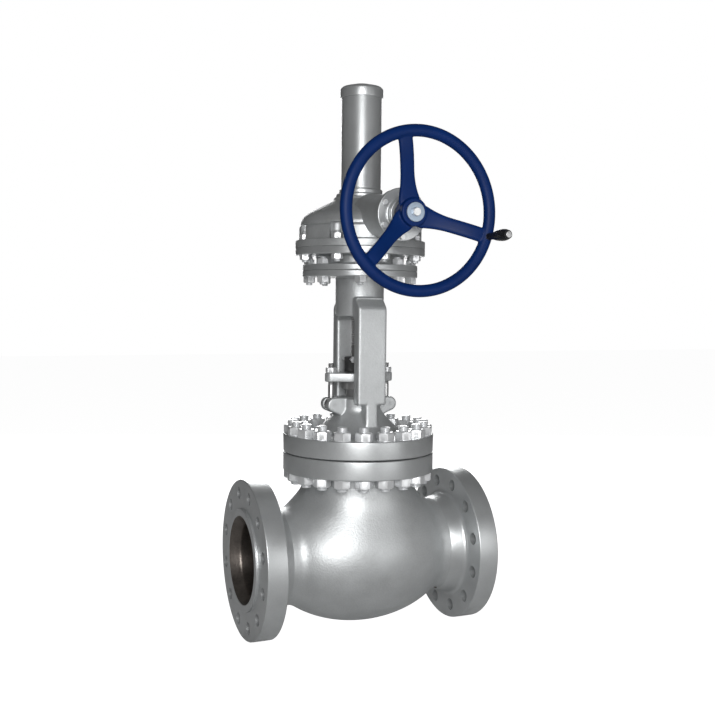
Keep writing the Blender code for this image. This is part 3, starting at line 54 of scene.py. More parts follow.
# Body
BELLY_R = 0.187
BELLY_HALF_X = 0.270
NECK_R = 0.127
NECK_END_X = 0.285
NECK_BLEND = 0.010
CROWN_R = 0.150
CROWN_FOOT_HALF_X = 0.178
CROWN_EASE_Z = 0.105
CROWN_EASE_H = 0.085
CROWN_END_Z = 0.245
CROWN_BLEND = 0.045
CROWN_BORE_R = 0.122
# Depth under the casting's surface past which faces get the dark bore finish, which is painted shade
BORE_SHADE_DEPTH = 0.006
WATERWAY_END_X = 0.32
ROOM_R = 0.160
ROOM_HALF_X = 0.243
PORT_R = 0.100
SEAT_HOLE_R = 0.1093
BRIDGE_Z = 0.012
BRIDGE_RISE = 0.097
BRIDGE_T = 0.026
BRIDGE_FLAT_HALF_X = 0.128
BRIDGE_SLOPE_X = 0.084
BRIDGE_HALF_X = 0.225
BRIDGE_SUNK = 0.010

# Pipe flanges
PIPE_FLANGE_R = 0.210
FLANGE_BACK_X = 0.2674
FLANGE_FACE_X = 0.323
RAISED_FACE_X = FLANGE_FACE_X + 0.007
RAISED_FACE_R = 0.135
MOUTH_R = 0.116
PIPE_BORE_R = 0.0996
HUB_ROOT_R = 0.1405
PIPE_BOLTS = 12
PIPE_BOLT_CIRCLE_R = 0.1746
PIPE_BOLT_HOLE_R = 0.016

# Bonnet joint
BONNET_FLANGE_R = 0.204
BODY_FLANGE_LOW_Z = 0.2235
BODY_TOP_Z = 0.2735
BONNET_FOOT_Z = 0.2765
BONNET_TOP_Z = 0.324
BONNET_ROOM_R = 0.112
GASKET_IN_R = 0.128
GASKET_OUT_R = 0.150
BONNET_STUDS = 20
BONNET_STUD_CIRCLE_R = 0.179
BONNET_NUT_R = 0.0237
BONNET_NUT_H = 0.0225
BONNET_STUD_R = 0.0132

# Yoke and gland
LUG_X = 0.081
LUG_Z = 0.4035
LUG_R = 0.0195
LUG_ROOT = (0.040, 0.366)
LUG_CORE_HALF_X = 0.060
LUG_CORE_HALF_Y = 0.012
LUG_HALF_Y = 0.030
LUG_SLOT_HALF_Y = 0.0098
LEG_FOOT_Z = 0.318
LEG_TOP_Z = 0.430
LEG_Y = 0.076
LEG_HALF_X = 0.018
LEG_HALF_Y = 0.017
LEG_FLARE_H = 0.018
ARM_HALF_X = 0.041
ARM_EDGE = 0.006
ARM_INNER_Y = 0.059
ARM_OUTER_Y = 0.093
ARM_FOOT_Z = 0.406
ARM_TOP_Z = 0.690
WINDOW_TOP_Z = 0.641
HUB_R = 0.0655
HUB_BORE_R = 0.034
YOKE_FLANGE_LOW_Z = 0.745
YOKE_FLANGE_R = 0.155
YOKE_FLANGE_TOP_Z = 0.761
GLAND_LOW_Z = 0.4638
GLAND_TOP_Z = 0.4885
GLAND_WAIST_R = 0.046
GLAND_END_R = 0.0165
GLAND_BORE_R = 0.0228
GLAND_NUT_R = 0.0150
EYE_R = 0.0165
EYE_HOLE_R = 0.0072
EYE_HALF_Y = 0.009
LUG_PIN_R = EYE_HOLE_R - GAP

# Gear case, with the bolts of its two joints
MOUNT_BOLT_CIRCLE_R = 0.137
CASE_BOLT_CIRCLE_R = 0.157
CASE_BOLTS = 8
CASE_BOLT_R = 0.0085
CASE_FLANGE_R = 0.1747
CASE_FOOT_Z = YOKE_FLANGE_TOP_Z + GAP
CASE_FOOT_TOP_Z = 0.7773
CASE_FLANGE_LOW_Z = 0.802
CASE_FLANGE_TOP_Z = 0.8215
COVER_FLANGE_TOP_Z = 0.8413
SPOOL_R = 0.118
SPOOL_BORE_R = 0.098
DOME_SIDE_R = 0.165
DOME_BAND_R = 0.161
DOME_ROOM_R = 0.126
DOME_NECK_R = 0.072
DOME_NECK_BORE_R = 0.0425
POCKET_R = 0.0200
BARREL_R = 0.057
BARREL_BORE_R = 0.046
BARREL_END = 0.246
CAP_SCREWS = 6
CAP_SCREW_CIRCLE_R = 0.0555
CAP_R = 0.0655
CAP_COLLAR_R = 0.039
CAP_BORE_R = 0.0172
SEAL_ROOM_R = 0.0283

# Stem, with the tube over it
STEM_R = 0.022
STEM_TOP_Z = 1.130
TUBE_R = 0.0536
TUBE_BORE_R = 0.0496
TUBE_FOOT_Z = 0.9578
LOCK_RING_R = 0.0670
LOCK_RING_BORE_R = 0.0542
LOCK_RING_TOP_Z = 0.9668
TUBE_BAND_R = 0.0585
TUBE_BAND_TOP_Z = 0.9791
TUBE_CAP_R = 0.0575
TUBE_TOP_Z = 1.236

# Handwheel, with the shaft's height and the distances in front of the stem
SHAFT_Z = 0.8948
WHEEL_RIM_Y = -0.3596
WHEEL_RIM_R = 0.189
WHEEL_RIM_HALF_W = 0.015
WHEEL_RIM_HALF_T = 0.013
WHEEL_HUB_BACK = 0.292
WHEEL_HUB_FRONT = 0.334
WHEEL_HUB_R = 0.034
WHEEL_BORE_R = 0.0128
HUB_WASHER_R = 0.0235
HUB_WASHER_BORE_R = 0.0052
SPOKES = 3
SPOKE_PHASE = np.radians(-16.7)
SPOKE_START = 0.012
SPOKE_HALF_T = 0.0078
SPOKE_HALF_W = 0.018
SPOKE_ROOT_REACH = 0.066
HANDLE_PIN_R = 0.0055
HANDLE_PIN_HEAD_R = 0.0085
HANDLE_BORE_R = 0.0061


# Shapes: a grid is an array (copies, around, along, 3)

def rounded(corners, reach, steps=5, closed=True):
    """A profile with soft corners. Each corner C gives way to the parabola
    (1-s)^2 A + 2 s (1-s) C + s^2 B, where A and B lie `reach` from C along its two sides."""
    c = np.asarray(corners, float)
    back, ahead = np.roll(c, 1, 0) - c, np.roll(c, -1, 0) - c
    long_back = np.linalg.norm(back, axis=1)
    long_ahead = np.linalg.norm(ahead, axis=1)
    reach = np.broadcast_to(np.asarray(reach, float), long_back.shape).copy()
    if not closed:
        reach[[0, -1]] = 0.0
    reach = np.minimum(reach, 0.45 * np.minimum(long_back, long_ahead))
    a = c + back * (reach / long_back)[:, None]
    b = c + ahead * (reach / long_ahead)[:, None]
    s = np.linspace(0, 1, steps + 1)[None, :, None]
    arc = (1 - s) ** 2 * a[:, None] + 2 * s * (1 - s) * c[:, None] + s ** 2 * b[:, None]
    return arc.reshape(-1, 2)


def lathe(profile, segments=96):
    """Surface of revolution about Z: P(t, k) = (r_k cos t, r_k sin t, z_k)."""
    r, z = np.asarray(profile, float).T
    t = np.linspace(0, 2 * np.pi, segments, endpoint=False)[:, None]
    return np.stack([r * np.cos(t), r * np.sin(t), z + 0 * t], axis=-1)[None]


def along_x(grid):
    """Lay a shape made about Z along the pipe: (x, y, z) -> (z, x, y)."""
    return grid[..., [2, 0, 1]]


def to_front(grid, centre=(0, 0, SHAFT_Z)):
    """Lay a shape made about Z towards the handwheel: (x, y, z) -> (x, -z, y), then shift."""
    return np.stack([grid[..., 0], -grid[..., 2], grid[..., 1]], axis=-1) + np.asarray(centre)


def upright(grid):
    """Stand a plate made level: (x, y, z) -> (x, z, y)."""
    return grid[..., [0, 2, 1]]


def turned(grid, angle):
    """Turn about Z by the angle a: (c x - s y, s x + c y, z), with c = cos a and s = sin a."""
    c, s = np.cos(angle), np.sin(angle)
    x, y, z = np.moveaxis(grid, -1, 0)
    return np.stack([c * x - s * y, s * x + c * y, z + 0 * (c * x)], axis=-1)


def ring_of(grid, count, radius, phase=0.0, spin=2.4):
    """Copies round Z. Copy k is spun by spin k on its own axis, set out by the radius, and
    turned by phase + 2 pi k / count."""
    k = np.arange(count)[:, None, None]
    local = turned(grid, spin * k)
    local[..., 0] += radius
    return turned(local, phase + 2 * np.pi * k / count)


def hex_nut(corner_r, low, high, hole_r=0.0, steps=6):
    """Chamfered hexagon: r(t, z) = min(flat / cos t', 0.94 flat + 1.5 d), with t' the angle from
    the middle of its flat, and d the distance below the top face."""
    flat = corner_r * np.cos(np.pi / 6)
    t = np.linspace(0, 2 * np.pi, 6 * steps, endpoint=False)[:, None]
    across = flat / np.cos((t + np.pi / 6) % (np.pi / 3) - np.pi / 6)
    depth = (high - low) * np.array([0, 0, 0.05, 0.12, 0.2, 0.96, 1.0, 1.0])
    r = np.minimum(across, flat * 0.94 + 1.5 * depth)
    r[:, 0] = hole_r
    r[:, -1] = hole_r
    r[:, -2] = np.minimum(r[:, -2], flat * 0.985)
    return np.stack([r * np.cos(t), r * np.sin(t), high - depth + 0 * t], axis=-1)[None]


def stud_end(radius, low, high, turns=5):
    """Threaded end: r falls to 0.91 of the radius in each groove, and the tip narrows to 0.72."""
    z = np.linspace(low, high - radius * 0.12, 2 * turns + 1)
    r = radius * np.where(np.arange(2 * turns + 1) % 2, 0.91, 1.0)
    grooves = np.stack([r, z], axis=1)
    return lathe(np.concatenate([[[0, low]], grooves, [[radius * 0.72, high], [0, high]]]), 20)


def slab(outline, low, high, edge, steps=3):
    """Plate with rounded edges. Each level is the outline moved inwards by edge (1 - sin a),
    at the height edge (1 - cos a) from its face, for a quarter turn of a at each face."""
    p = np.asarray(outline, float)
    side = np.roll(p, -1, 0) - p
    side /= np.linalg.norm(side, axis=1)[:, None]
    inward = np.stack([-side[:, 1], side[:, 0]], axis=1)
    mean = inward + np.roll(inward, 1, 0)
    mean /= np.maximum(0.6, (mean * inward).sum(1))[:, None]
    area = np.sum(p[:, 0] * np.roll(p[:, 1], -1) - np.roll(p[:, 0], -1) * p[:, 1])
    mean *= np.sign(area)
    a = np.linspace(0, np.pi / 2, steps + 1)
    shrink = edge * (1 - np.sin(a))
    sink = edge * (1 - np.cos(a))
    inset = np.concatenate([shrink, shrink[::-1]])
    level = np.concatenate([low + sink, (high - sink)[::-1]])
    rings = p[:, None] + mean[:, None] * inset[None, :, None]
    heights = np.broadcast_to(level[None, :, None], rings.shape[:2] + (1,))
    skin = np.concatenate([rings, heights], axis=-1)
    first = np.broadcast_to(np.append(p.mean(0), low), (len(p), 1, 3))
    last = np.broadcast_to(np.append(p.mean(0), high), (len(p), 1, 3))
    return np.concatenate([first, skin, last], axis=1)[None]


def sweep(path, across, out, half_w, half_t, power, samples=28):
    """Bar along a path: P(k, t) = path_k + across w_k c(t) + out h_k s(t), where c and s are the
    cosine and sine of t raised to 2 / power, with their signs kept."""
    t = np.linspace(0, 2 * np.pi, samples, endpoint=False)
    c = np.sign(np.cos(t)) * np.abs(np.cos(t)) ** (2 / power)
    s = np.sign(np.sin(t)) * np.abs(np.sin(t)) ** (2 / power)
    wide = np.asarray(across, float) * (half_w[:, None] * c)[..., None]
    thick = np.asarray(out, float) * (half_t[:, None] * s)[..., None]
    body = path[:, None] + wide + thick
    tips = np.broadcast_to(path[[0, -1], None], (2, samples, 3))
    return np.concatenate([tips[:1], body, tips[1:]], axis=0).transpose(1, 0, 2)[None]


# Meshes

def net(shape, loop):
    """Corner numbers of the faces of a grid, closed round, and along too if loop."""
    number = np.arange(np.prod(shape)).reshape(shape)
    number = np.concatenate([number, number[:, :1]], axis=1)
    if loop:
        number = np.concatenate([number, number[:, :, :1]], axis=2)
    corners = [number[:, :-1, :-1], number[:, 1:, :-1], number[:, 1:, 1:], number[:, :-1, 1:]]
    return np.stack(corners, axis=-1).reshape(-1, 4)


def tidy_mesh(mesh, recalculate):
    """Merge doubled points and, for a new surface, turn its faces outwards."""
    bm = bmesh.new()
    bm.from_mesh(mesh)
    bmesh.ops.remove_doubles(bm, verts=bm.verts, dist=2e-6)
    bmesh.ops.dissolve_degenerate(bm, dist=1e-6, edges=bm.edges)
    if recalculate:
        bmesh.ops.recalc_face_normals(bm, faces=bm.faces)
    bm.to_mesh(mesh)
    bm.free()


def object_of(name, *grids):
    """A new object from grids. A grid whose first column isn't one point is closed along too."""
    points, faces, start = [], [], 0
    for grid in grids:
        loop = np.linalg.norm(grid[:, :, 0] - grid[:, :1, 0], axis=-1).max() > 1e-9
        points.append(grid.reshape(-1, 3))
        faces.append(net(grid.shape[:3], loop) + start)
        start += len(points[-1])
    mesh = bpy.data.meshes.new(name)
    mesh.from_pydata(np.concatenate(points).tolist(), [], np.concatenate(faces).tolist())
    tidy_mesh(mesh, True)
    obj = bpy.data.objects.new(name, mesh)
    bpy.context.collection.objects.link(obj)
    return obj


def settle(obj):
    """Put the result of the object's modifiers in its mesh."""
    graph = bpy.context.evaluated_depsgraph_get()
    mesh = bpy.data.meshes.new_from_object(obj.evaluated_get(graph))
    old = obj.data
    obj.modifiers.clear()
    obj.data = mesh
    bpy.data.meshes.remove(old)


def carve(obj, *grids):
    """Take the space of closed shapes out of the object."""
    tool = object_of("cutting_shape", *grids)
    change = obj.modifiers.new("carve", "BOOLEAN")
    change.operation = "DIFFERENCE"
    change.object = tool
    change.solver = "EXACT"
    settle(obj)
    mesh = tool.data
    bpy.data.objects.remove(tool)
    bpy.data.meshes.remove(mesh)
    tidy_mesh(obj.data, False)


def cast(obj, grain, passes):
    """Run the object's overlapping shapes together as one casting, with soft inner corners."""
    whole = obj.modifiers.new("one skin", "REMESH")
    whole.mode = "VOXEL"
    whole.voxel_size = grain
    soft = obj.modifiers.new("soft corners", "SMOOTH")
    soft.iterations = passes
    soft.factor = 0.5
    settle(obj)


# Finishes

def noise_of(mat, place, scale, detail, rough):
    """Noise on the object's own coordinates."""
    noise = mat.node_tree.nodes.new("ShaderNodeTexNoise")
    noise.inputs["Scale"].default_value = scale
    noise.inputs["Detail"].default_value = detail
    noise.inputs["Roughness"].default_value = rough
    mat.node_tree.links.new(place.outputs["Object"], noise.inputs["Vector"])
    return noise.outputs["Fac"]


def finish(name, colour, metallic, roughness, bump, grain, mottle, blotch=9.0, gloss=0.5):
    """Procedural finish. The colour runs from (1 - mottle) to (1 + mottle) times its own with
    blotches + 0.35 grain, the roughness follows the blotches, and the grain lifts the surface."""
    mat = bpy.data.materials.new(name)
    mat.use_nodes = True
    nodes, links = mat.node_tree.nodes, mat.node_tree.links
    shader = nodes["Principled BSDF"]
    place = nodes.new("ShaderNodeTexCoord")
    blotches = noise_of(mat, place, blotch, 5, 0.6)
    grains = noise_of(mat, place, grain, 3, 0.55)
    mixed = nodes.new("ShaderNodeMath")
    mixed.operation = "MULTIPLY_ADD"
    links.new(grains, mixed.inputs[0])
    mixed.inputs[1].default_value = 0.35
    links.new(blotches, mixed.inputs[2])
    ramp = nodes.new("ShaderNodeValToRGB")
    dark, light = ramp.color_ramp.elements
    dark.position = 0.42
    light.position = 0.92
    dark.color = (*[c * (1 - mottle) for c in colour], 1)
    light.color = (*[min(1.0, c * (1 + mottle)) for c in colour], 1)
    links.new(mixed.outputs[0], ramp.inputs["Fac"])
    links.new(ramp.outputs["Color"], shader.inputs["Base Color"])
    spread = nodes.new("ShaderNodeMapRange")
    spread.inputs["To Min"].default_value = max(0.05, roughness - 0.08)
    spread.inputs["To Max"].default_value = min(1.0, roughness + 0.08)
    links.new(blotches, spread.inputs["Value"])
    links.new(spread.outputs["Result"], shader.inputs["Roughness"])
    shader.inputs["Metallic"].default_value = metallic
    shader.inputs["Specular IOR Level"].default_value = gloss
    lift = nodes.new("ShaderNodeBump")
    lift.inputs["Strength"].default_value = bump
    lift.inputs["Distance"].default_value = 0.001
    links.new(grains, lift.inputs["Height"])
    links.new(lift.outputs["Normal"], shader.inputs["Normal"])
    return mat


SILVER = (0.53, 0.545, 0.55)
cast_coat = finish("cast_silver_coat", SILVER, 0.62, 0.44, 0.55, 230, 0.13)
smooth_coat = finish("smooth_silver_coat", SILVER, 0.66, 0.35, 0.22, 330, 0.10)
# Dark brown metal for the inside of the body: the bare metal's finish, made darker than its own colour as
# painted shade inside the bore
bore_metal_painted_shade = finish("bore_metal_painted_shade", (0.17, 0.15, 0.135), 0.9, 0.36, 0.4, 180, 0.3, 30)
zinc = finish("zinc_plating", (0.80, 0.81, 0.82), 0.6, 0.38, 0.03, 500, 0.08, 60)
blued_zinc = finish("blued_zinc", (0.34, 0.41, 0.50), 0.5, 0.40, 0.03, 500, 0.08, 60)
blue_coat = finish("blue_coat", (0.001, 0.017, 0.098), 0.0, 0.45, 0.10, 240, 0.16, 14, 0.15)
finish_of_slot = {
    "silver_paint": cast_coat,
    "zinc_plate": zinc,
    "bright_steel": finish("bright_steel", (0.46, 0.46, 0.46), 0.9, 0.36, 0.03, 600, 0.08, 40),
    "hard_facing": finish("seat_facing", (0.48, 0.47, 0.45), 1.0, 0.22, 0.04, 900, 0.06, 40),
    "bronze": finish("bronze", (0.50, 0.33, 0.14), 1.0, 0.32, 0.05, 700, 0.12, 40),
    "graphite": finish("graphite", (0.035, 0.035, 0.035), 0.0, 0.6, 0.3, 900, 0.25, 80),
    "seal_rubber": finish("seal_rubber", (0.02, 0.02, 0.02), 0.0, 0.55, 0.1, 800, 0.2, 80),
    "dark_steel": finish("dark_steel", (0.07, 0.07, 0.07), 0.5, 0.42, 0.15, 500, 0.2, 40),
    "blue_paint": blue_coat,
    "black_plastic": finish("black_plastic", (0.010, 0.010, 0.011), 0.0, 0.36, 0.08, 600, 0.2, 60, 0.3),
}
slot_of = {entry["node"]: entry["material_slot"] for entry in frame["record"]["subparts"]}
for node_name, slot in slot_of.items():
    node = frame["nodes"][node_name]
    node.data.materials.clear()
    node.data.materials.append(finish_of_slot[slot])


def fit(obj, node, body="valve", coat=None, slot=None, crease=32):
    """Fit a finished piece in place of the node that it stands for, which is hidden, on the body that it
    rides on and with its finish, which is the node's own unless another is named."""
    slot = slot or slot_of[node]
    obj.data.shade_smooth()
    obj.data.set_sharp_from_angle(angle=np.radians(crease))
    obj.data.materials.clear()
    obj.data.materials.append(coat or finish_of_slot[slot])
    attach(obj, body)
    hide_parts(node)


def turned_piece(name, node, corners, reach, segments=144, steps=5, lay=None, **fitting):
    """A piece turned from its half section, in (r, z), laid along its axis and fitted."""
    grid = lathe(rounded(corners, reach, steps), segments)
    fit(object_of(name, lay(grid) if lay else grid), node, **fitting)


def paint_bore_shade(obj, inside):
    """Give the faces whose middles are inside the waterway the dark bore finish: bare metal's colour, made
    darker as painted shade.
    """
    middles = np.empty(3 * len(obj.data.polygons))
    obj.data.polygons.foreach_get("center", middles)
    obj.data.materials.append(bore_metal_painted_shade)
    obj.data.polygons.foreach_set("material_index", inside(middles.reshape(-1, 3)).astype(np.int32))


# Valve body

def smooth_step(share):
    """Ease of a share s held between 0 and 1: 3 s^2 - 2 s^3."""
    s = np.clip(share, 0, 1)
    return s * s * (3 - 2 * s)


def melt(a, b, blend):
    """How far a smooth union of a and b lies below the lesser one: h^2 / (4 blend), with
    h = max(blend - |a - b|, 0)."""
    return np.maximum(blend - np.abs(a - b), 0) ** 2 / (4 * blend)


def body_field(p):
    """Below 0 inside the casting. The belly is an oval that melts into the necks, round X, and
    the crown is a cylinder of oval plan that narrows upwards. Their smooth union ends at the flanges."""
    x, y, z = np.moveaxis(p, -1, 0)
    oval = BELLY_R * np.sqrt(np.maximum(0, 1 - (x / BELLY_HALF_X) ** 2))
    belly = np.hypot(y, z) - np.maximum(oval, NECK_R) - melt(oval, NECK_R, NECK_BLEND)
    ease = smooth_step((z - CROWN_EASE_Z) / CROWN_EASE_H)
    half_x = CROWN_FOOT_HALF_X + (CROWN_R - CROWN_FOOT_HALF_X) * ease
    crown = (np.hypot(x / half_x, y / CROWN_R) - 1) * CROWN_R
    crown = np.maximum(crown, np.maximum(z - CROWN_END_Z, -z))
    whole = np.minimum(belly, crown) - melt(belly, crown, CROWN_BLEND)
    return np.maximum(whole, np.abs(x) - NECK_END_X)


def body_skin(around=224, along=176):
    """Each point lies on a ray from the middle of the body, at the distance where the field is 0,
    found by halving."""
    turn = np.linspace(0, 2 * np.pi, around, endpoint=False)[:, None]
    tilt = np.linspace(0, np.pi, along)[None, :]
    ray = np.stack([-np.cos(tilt) + 0 * turn, np.sin(tilt) * np.cos(turn), np.sin(tilt) * np.sin(turn)],
                   axis=-1)
    near, far = np.full(ray.shape[:2], 0.05), np.full(ray.shape[:2], 0.45)
    for _ in range(26):
        middle = (near + far) / 2
        inside = body_field(ray * middle[..., None]) < 0
        near, far = np.where(inside, middle, near), np.where(inside, far, middle)
    skin = ray * ((near + far) / 2)[..., None]
    skin[:, 0] = skin[:, 0].mean(0)
    skin[:, -1] = skin[:, -1].mean(0)
    return skin[None]


def room_radius(x):
    """Radius of the room inside the belly: R sqrt(1 - (x / L)^2), and never less than the port's."""
    return np.maximum(ROOM_R * np.sqrt(np.maximum(0, 1 - (x / ROOM_HALF_X) ** 2)), PORT_R)


def waterway():
    """The room and its two ports: the room's radius turned about X, with flat ends."""
    x = np.linspace(-WATERWAY_END_X, WATERWAY_END_X, 81)
    wall = np.stack([room_radius(x), x], axis=1)
    return along_x(lathe(np.concatenate([[[0, x[0]]], wall, [[0, x[-1]]]]), 72))


def crown_bore():
    """A plain cylinder about Z, up from the room through the crown."""
    low, high = 0.02, 0.30
    return lathe(rounded([(0, low), (CROWN_BORE_R, low), (CROWN_BORE_R, high), (0, high)], 0.0, 1, False), 80)


def bridge_top(x):
    """Height of the wall between inlet and outlet: level under the seat, then up to the inlet's
    roof and down to the outlet's floor by 3 s^2 - 2 s^3 of the share s of its slope."""
    slope = smooth_step((np.abs(x) - BRIDGE_FLAT_HALF_X) / BRIDGE_SLOPE_X)
    return BRIDGE_Z - np.sign(x) * BRIDGE_RISE * slope


def bridge_grid():
    """The wall as rings from the seat's hole out to the belly: P(t, s) = (1 - s) hole(t) + s edge(t),
    at the height bridge_top(x). Its underside lies one thickness lower."""
    t = np.linspace(0, 2 * np.pi, 96, endpoint=False)[:, None]
    s = np.linspace(0, 1, 30)[None, :]
    edge_x = BRIDGE_HALF_X * np.cos(t)
    reach = room_radius(edge_x) + BRIDGE_SUNK
    width = np.sqrt(np.maximum(1e-4, reach ** 2 - np.clip(bridge_top(edge_x), -0.1, 0.1) ** 2))
    edge_y = width * np.clip(3 * np.sin(t), -1, 1)
    x = (1 - s) * SEAT_HOLE_R * np.cos(t) + s * edge_x
    y = (1 - s) * SEAT_HOLE_R * np.sin(t) + s * edge_y
    upper = np.stack([x, y, bridge_top(x)], axis=-1)
    lower = np.stack([x, y, bridge_top(x) - BRIDGE_T], axis=-1)[:, ::-1]
    return np.concatenate([upper, lower], axis=1)[None]


def pipe_flange(sign):
    """Flange, raised face and hub of one pipe end: a closed profile turned about X."""
    profile = rounded(
        [(PIPE_BORE_R, FLANGE_BACK_X - 0.010), (PIPE_BORE_R, RAISED_FACE_X - 0.028), (MOUTH_R, RAISED_FACE_X),
         (RAISED_FACE_R, RAISED_FACE_X), (RAISED_FACE_R, FLANGE_FACE_X), (PIPE_FLANGE_R, FLANGE_FACE_X),
         (PIPE_FLANGE_R, FLANGE_BACK_X), (HUB_ROOT_R, FLANGE_BACK_X),
         (HUB_ROOT_R - 0.006, FLANGE_BACK_X - 0.020), (NECK_R - 0.0002, FLANGE_BACK_X - 0.044)],
        [0.001, 0.004, 0.0015, 0.0012, 0.0015, 0.0035, 0.0045, 0.014, 0.012, 0.004])
    return sign * along_x(lathe(profile, 160))


def pipe_holes(sign):
    """Cylinders on the bolt circle about X: a rectangle turned about each hole's axis."""
    hole = np.array([(0, 0.25), (PIPE_BOLT_HOLE_R, 0.25), (PIPE_BOLT_HOLE_R, 0.34), (0, 0.34)])
    return sign * along_x(ring_of(lathe(hole, 36), PIPE_BOLTS, PIPE_BOLT_CIRCLE_R, np.pi / PIPE_BOLTS))


casting = object_of("valve_body_casting", body_skin())
carve(casting, waterway())
carve(casting, crown_bore())
fit(casting, "valve_body", crease=40)
# Faces inside the waterway get the dark bore finish, which is painted shade
paint_bore_shade(casting, lambda p: body_field(p) < -BORE_SHADE_DEPTH)

for side, sign in (("inlet", -1), ("outlet", 1)):
    flange = object_of(f"{side}_flange", pipe_flange(sign))
    carve(flange, pipe_holes(sign))
    fit(flange, "valve_body", coat=smooth_coat)
    # The flange's mouth gets the dark bore finish, which is painted shade
    paint_bore_shade(flange, lambda p: np.hypot(p[:, 1], p[:, 2]) < MOUTH_R - 0.0008)

turned_piece(
    "body_top_flange", "valve_body",
    [(CROWN_R + 0.0005, 0.196), (CROWN_R + 0.0005, BODY_FLANGE_LOW_Z), (BONNET_FLANGE_R, BODY_FLANGE_LOW_Z),
     (BONNET_FLANGE_R, BODY_TOP_Z), (CROWN_BORE_R + 0.0005, BODY_TOP_Z), (CROWN_BORE_R + 0.0005, 0.196)],
    [0.001, 0.012, 0.004, 0.003, 0.001, 0.001], 160, coat=smooth_coat)
# The bridge deep inside the body gets the dark bore finish, which is painted shade
fit(object_of("body_bridge", bridge_grid()), "valve_body", coat=bore_metal_painted_shade)


# Bonnet joint

def nut_ring(name, node, face, sign, count, circle, phase, corner_r, height, stud_r, end):
    """Nuts on a level face, with the stud ends that stand out of them. Each nut has a round
    washer face under it. The whole is turned over where sign is -1."""
    washer = [(0, -0.0006), (corner_r * 0.93, -0.0006), (corner_r * 0.93, 0.001), (0, 0.001)]
    shapes = [hex_nut(corner_r, 0, height), lathe(washer, 24), stud_end(stud_r, height - 0.001, height + end)]
    placed = [ring_of(shape * [1, 1, sign], count, circle, phase) + [0, 0, face] for shape in shapes]
    fit(object_of(name, *placed), node, coat=zinc, slot="zinc_plate")


bonnet_nut = (BONNET_STUDS, BONNET_STUD_CIRCLE_R, 0, BONNET_NUT_R, BONNET_NUT_H, BONNET_STUD_R)
nut_ring("bonnet_nuts_upper", "bonnet_yoke", BONNET_TOP_Z, 1, *bonnet_nut, 0.013)
nut_ring("bonnet_nuts_lower", "valve_body", BODY_FLANGE_LOW_Z, -1, *bonnet_nut, 0.009)

turned_piece(
    "bonnet_flange", "bonnet_yoke",
    [(BONNET_ROOM_R + 0.004, BONNET_FOOT_Z), (BONNET_FLANGE_R, BONNET_FOOT_Z),
     (BONNET_FLANGE_R, BONNET_TOP_Z), (CROWN_R, BONNET_TOP_Z), (0.1285, BONNET_TOP_Z + 0.001),
     (BONNET_ROOM_R, 0.334), (BONNET_ROOM_R, 0.300)],
    [0.001, 0.003, 0.004, 0.001, 0.006, 0.004, 0.001], 160, coat=smooth_coat)
turned_piece(
    "bonnet_gasket_ring", "bonnet_gasket",
    [(GASKET_IN_R, BODY_TOP_Z + GAP), (GASKET_OUT_R, BODY_TOP_Z + GAP), (GASKET_OUT_R, BONNET_FOOT_Z - GAP),
     (GASKET_IN_R, BONNET_FOOT_Z - GAP)],
    0.0006, 120, 2)


# Bonnet and yoke casting

def lug_outline():
    """Front view of the lug block in (x, z): an arc round each eyebolt pin, joined by straight
    lines to its root, with the left half a mirror of the right."""
    a = np.linspace(-np.pi / 3, np.pi / 2, 12)
    right = np.stack([LUG_X + LUG_R * np.cos(a), LUG_Z + LUG_R * np.sin(a)], axis=1)
    right = np.concatenate([[LUG_ROOT], right])
    return np.concatenate([right, (right * [-1, 1])[::-1]])


def lug_middle():
    """The block between the two cheeks: the lug's outline, cut off short of the eyebolts."""
    outline = lug_outline()
    outline[:, 0] = np.clip(outline[:, 0], -LUG_CORE_HALF_X, LUG_CORE_HALF_X)
    return upright(slab(outline, -LUG_CORE_HALF_Y, LUG_CORE_HALF_Y, 0.002))


def arm_part(outline, sign):
    """A convex part of the yoke's head or arm: its side view in (y, z), drawn out along X."""
    grid = slab(outline, -ARM_HALF_X, ARM_HALF_X, ARM_EDGE)
    return np.stack([grid[..., 2], sign * grid[..., 0], grid[..., 1]], axis=-1)


def leg(sign):
    """Narrow leg under an arm. Its sides widen with exp(-h / H) at the height h over its foot."""
    z = np.linspace(LEG_FOOT_Z, LEG_TOP_Z, 18)
    flare = np.exp(-(z - LEG_FOOT_Z) / LEG_FLARE_H)
    path = np.stack([0 * z, sign * (LEG_Y + 0.006 * flare), z], axis=1)
    return sweep(path, [1, 0, 0], [0, 1, 0], LEG_HALF_X + 0.012 * flare, LEG_HALF_Y + 0.010 * flare, 5)


neck = rounded(
    [(0.033, LEG_FOOT_Z), (0.120, LEG_FOOT_Z), (0.120, 0.326), (0.098, 0.346), (0.058, 0.385), (0.058, 0.420),
     (0.0362, 0.420), (0.0362, 0.346), (0.033, 0.346)],
    [0.001, 0.004, 0.004, 0.014, 0.012, 0.004, 0.002, 0.001, 0.001])
hub = rounded(
    [(HUB_BORE_R, WINDOW_TOP_Z), (HUB_R, WINDOW_TOP_Z), (HUB_R, 0.748), (HUB_BORE_R, 0.748)],
    [0.002, 0.004, 0.001, 0.001], 4)
arm_plate = rounded(
    [(ARM_INNER_Y, ARM_FOOT_Z), (ARM_OUTER_Y, ARM_FOOT_Z), (ARM_OUTER_Y, 0.664), (0.067, ARM_TOP_Z),
     (ARM_INNER_Y, ARM_TOP_Z)],
    [0.006, 0.006, 0.008, 0.010, 0.001], 4)
arm_head = rounded(
    [(-0.001, WINDOW_TOP_Z), (0.062, WINDOW_TOP_Z), (0.072, ARM_TOP_Z), (-0.001, ARM_TOP_Z)], 0.001, 1)
window_corner = [(0.043, 0.647), (0.063, 0.624), (0.063, 0.647)]

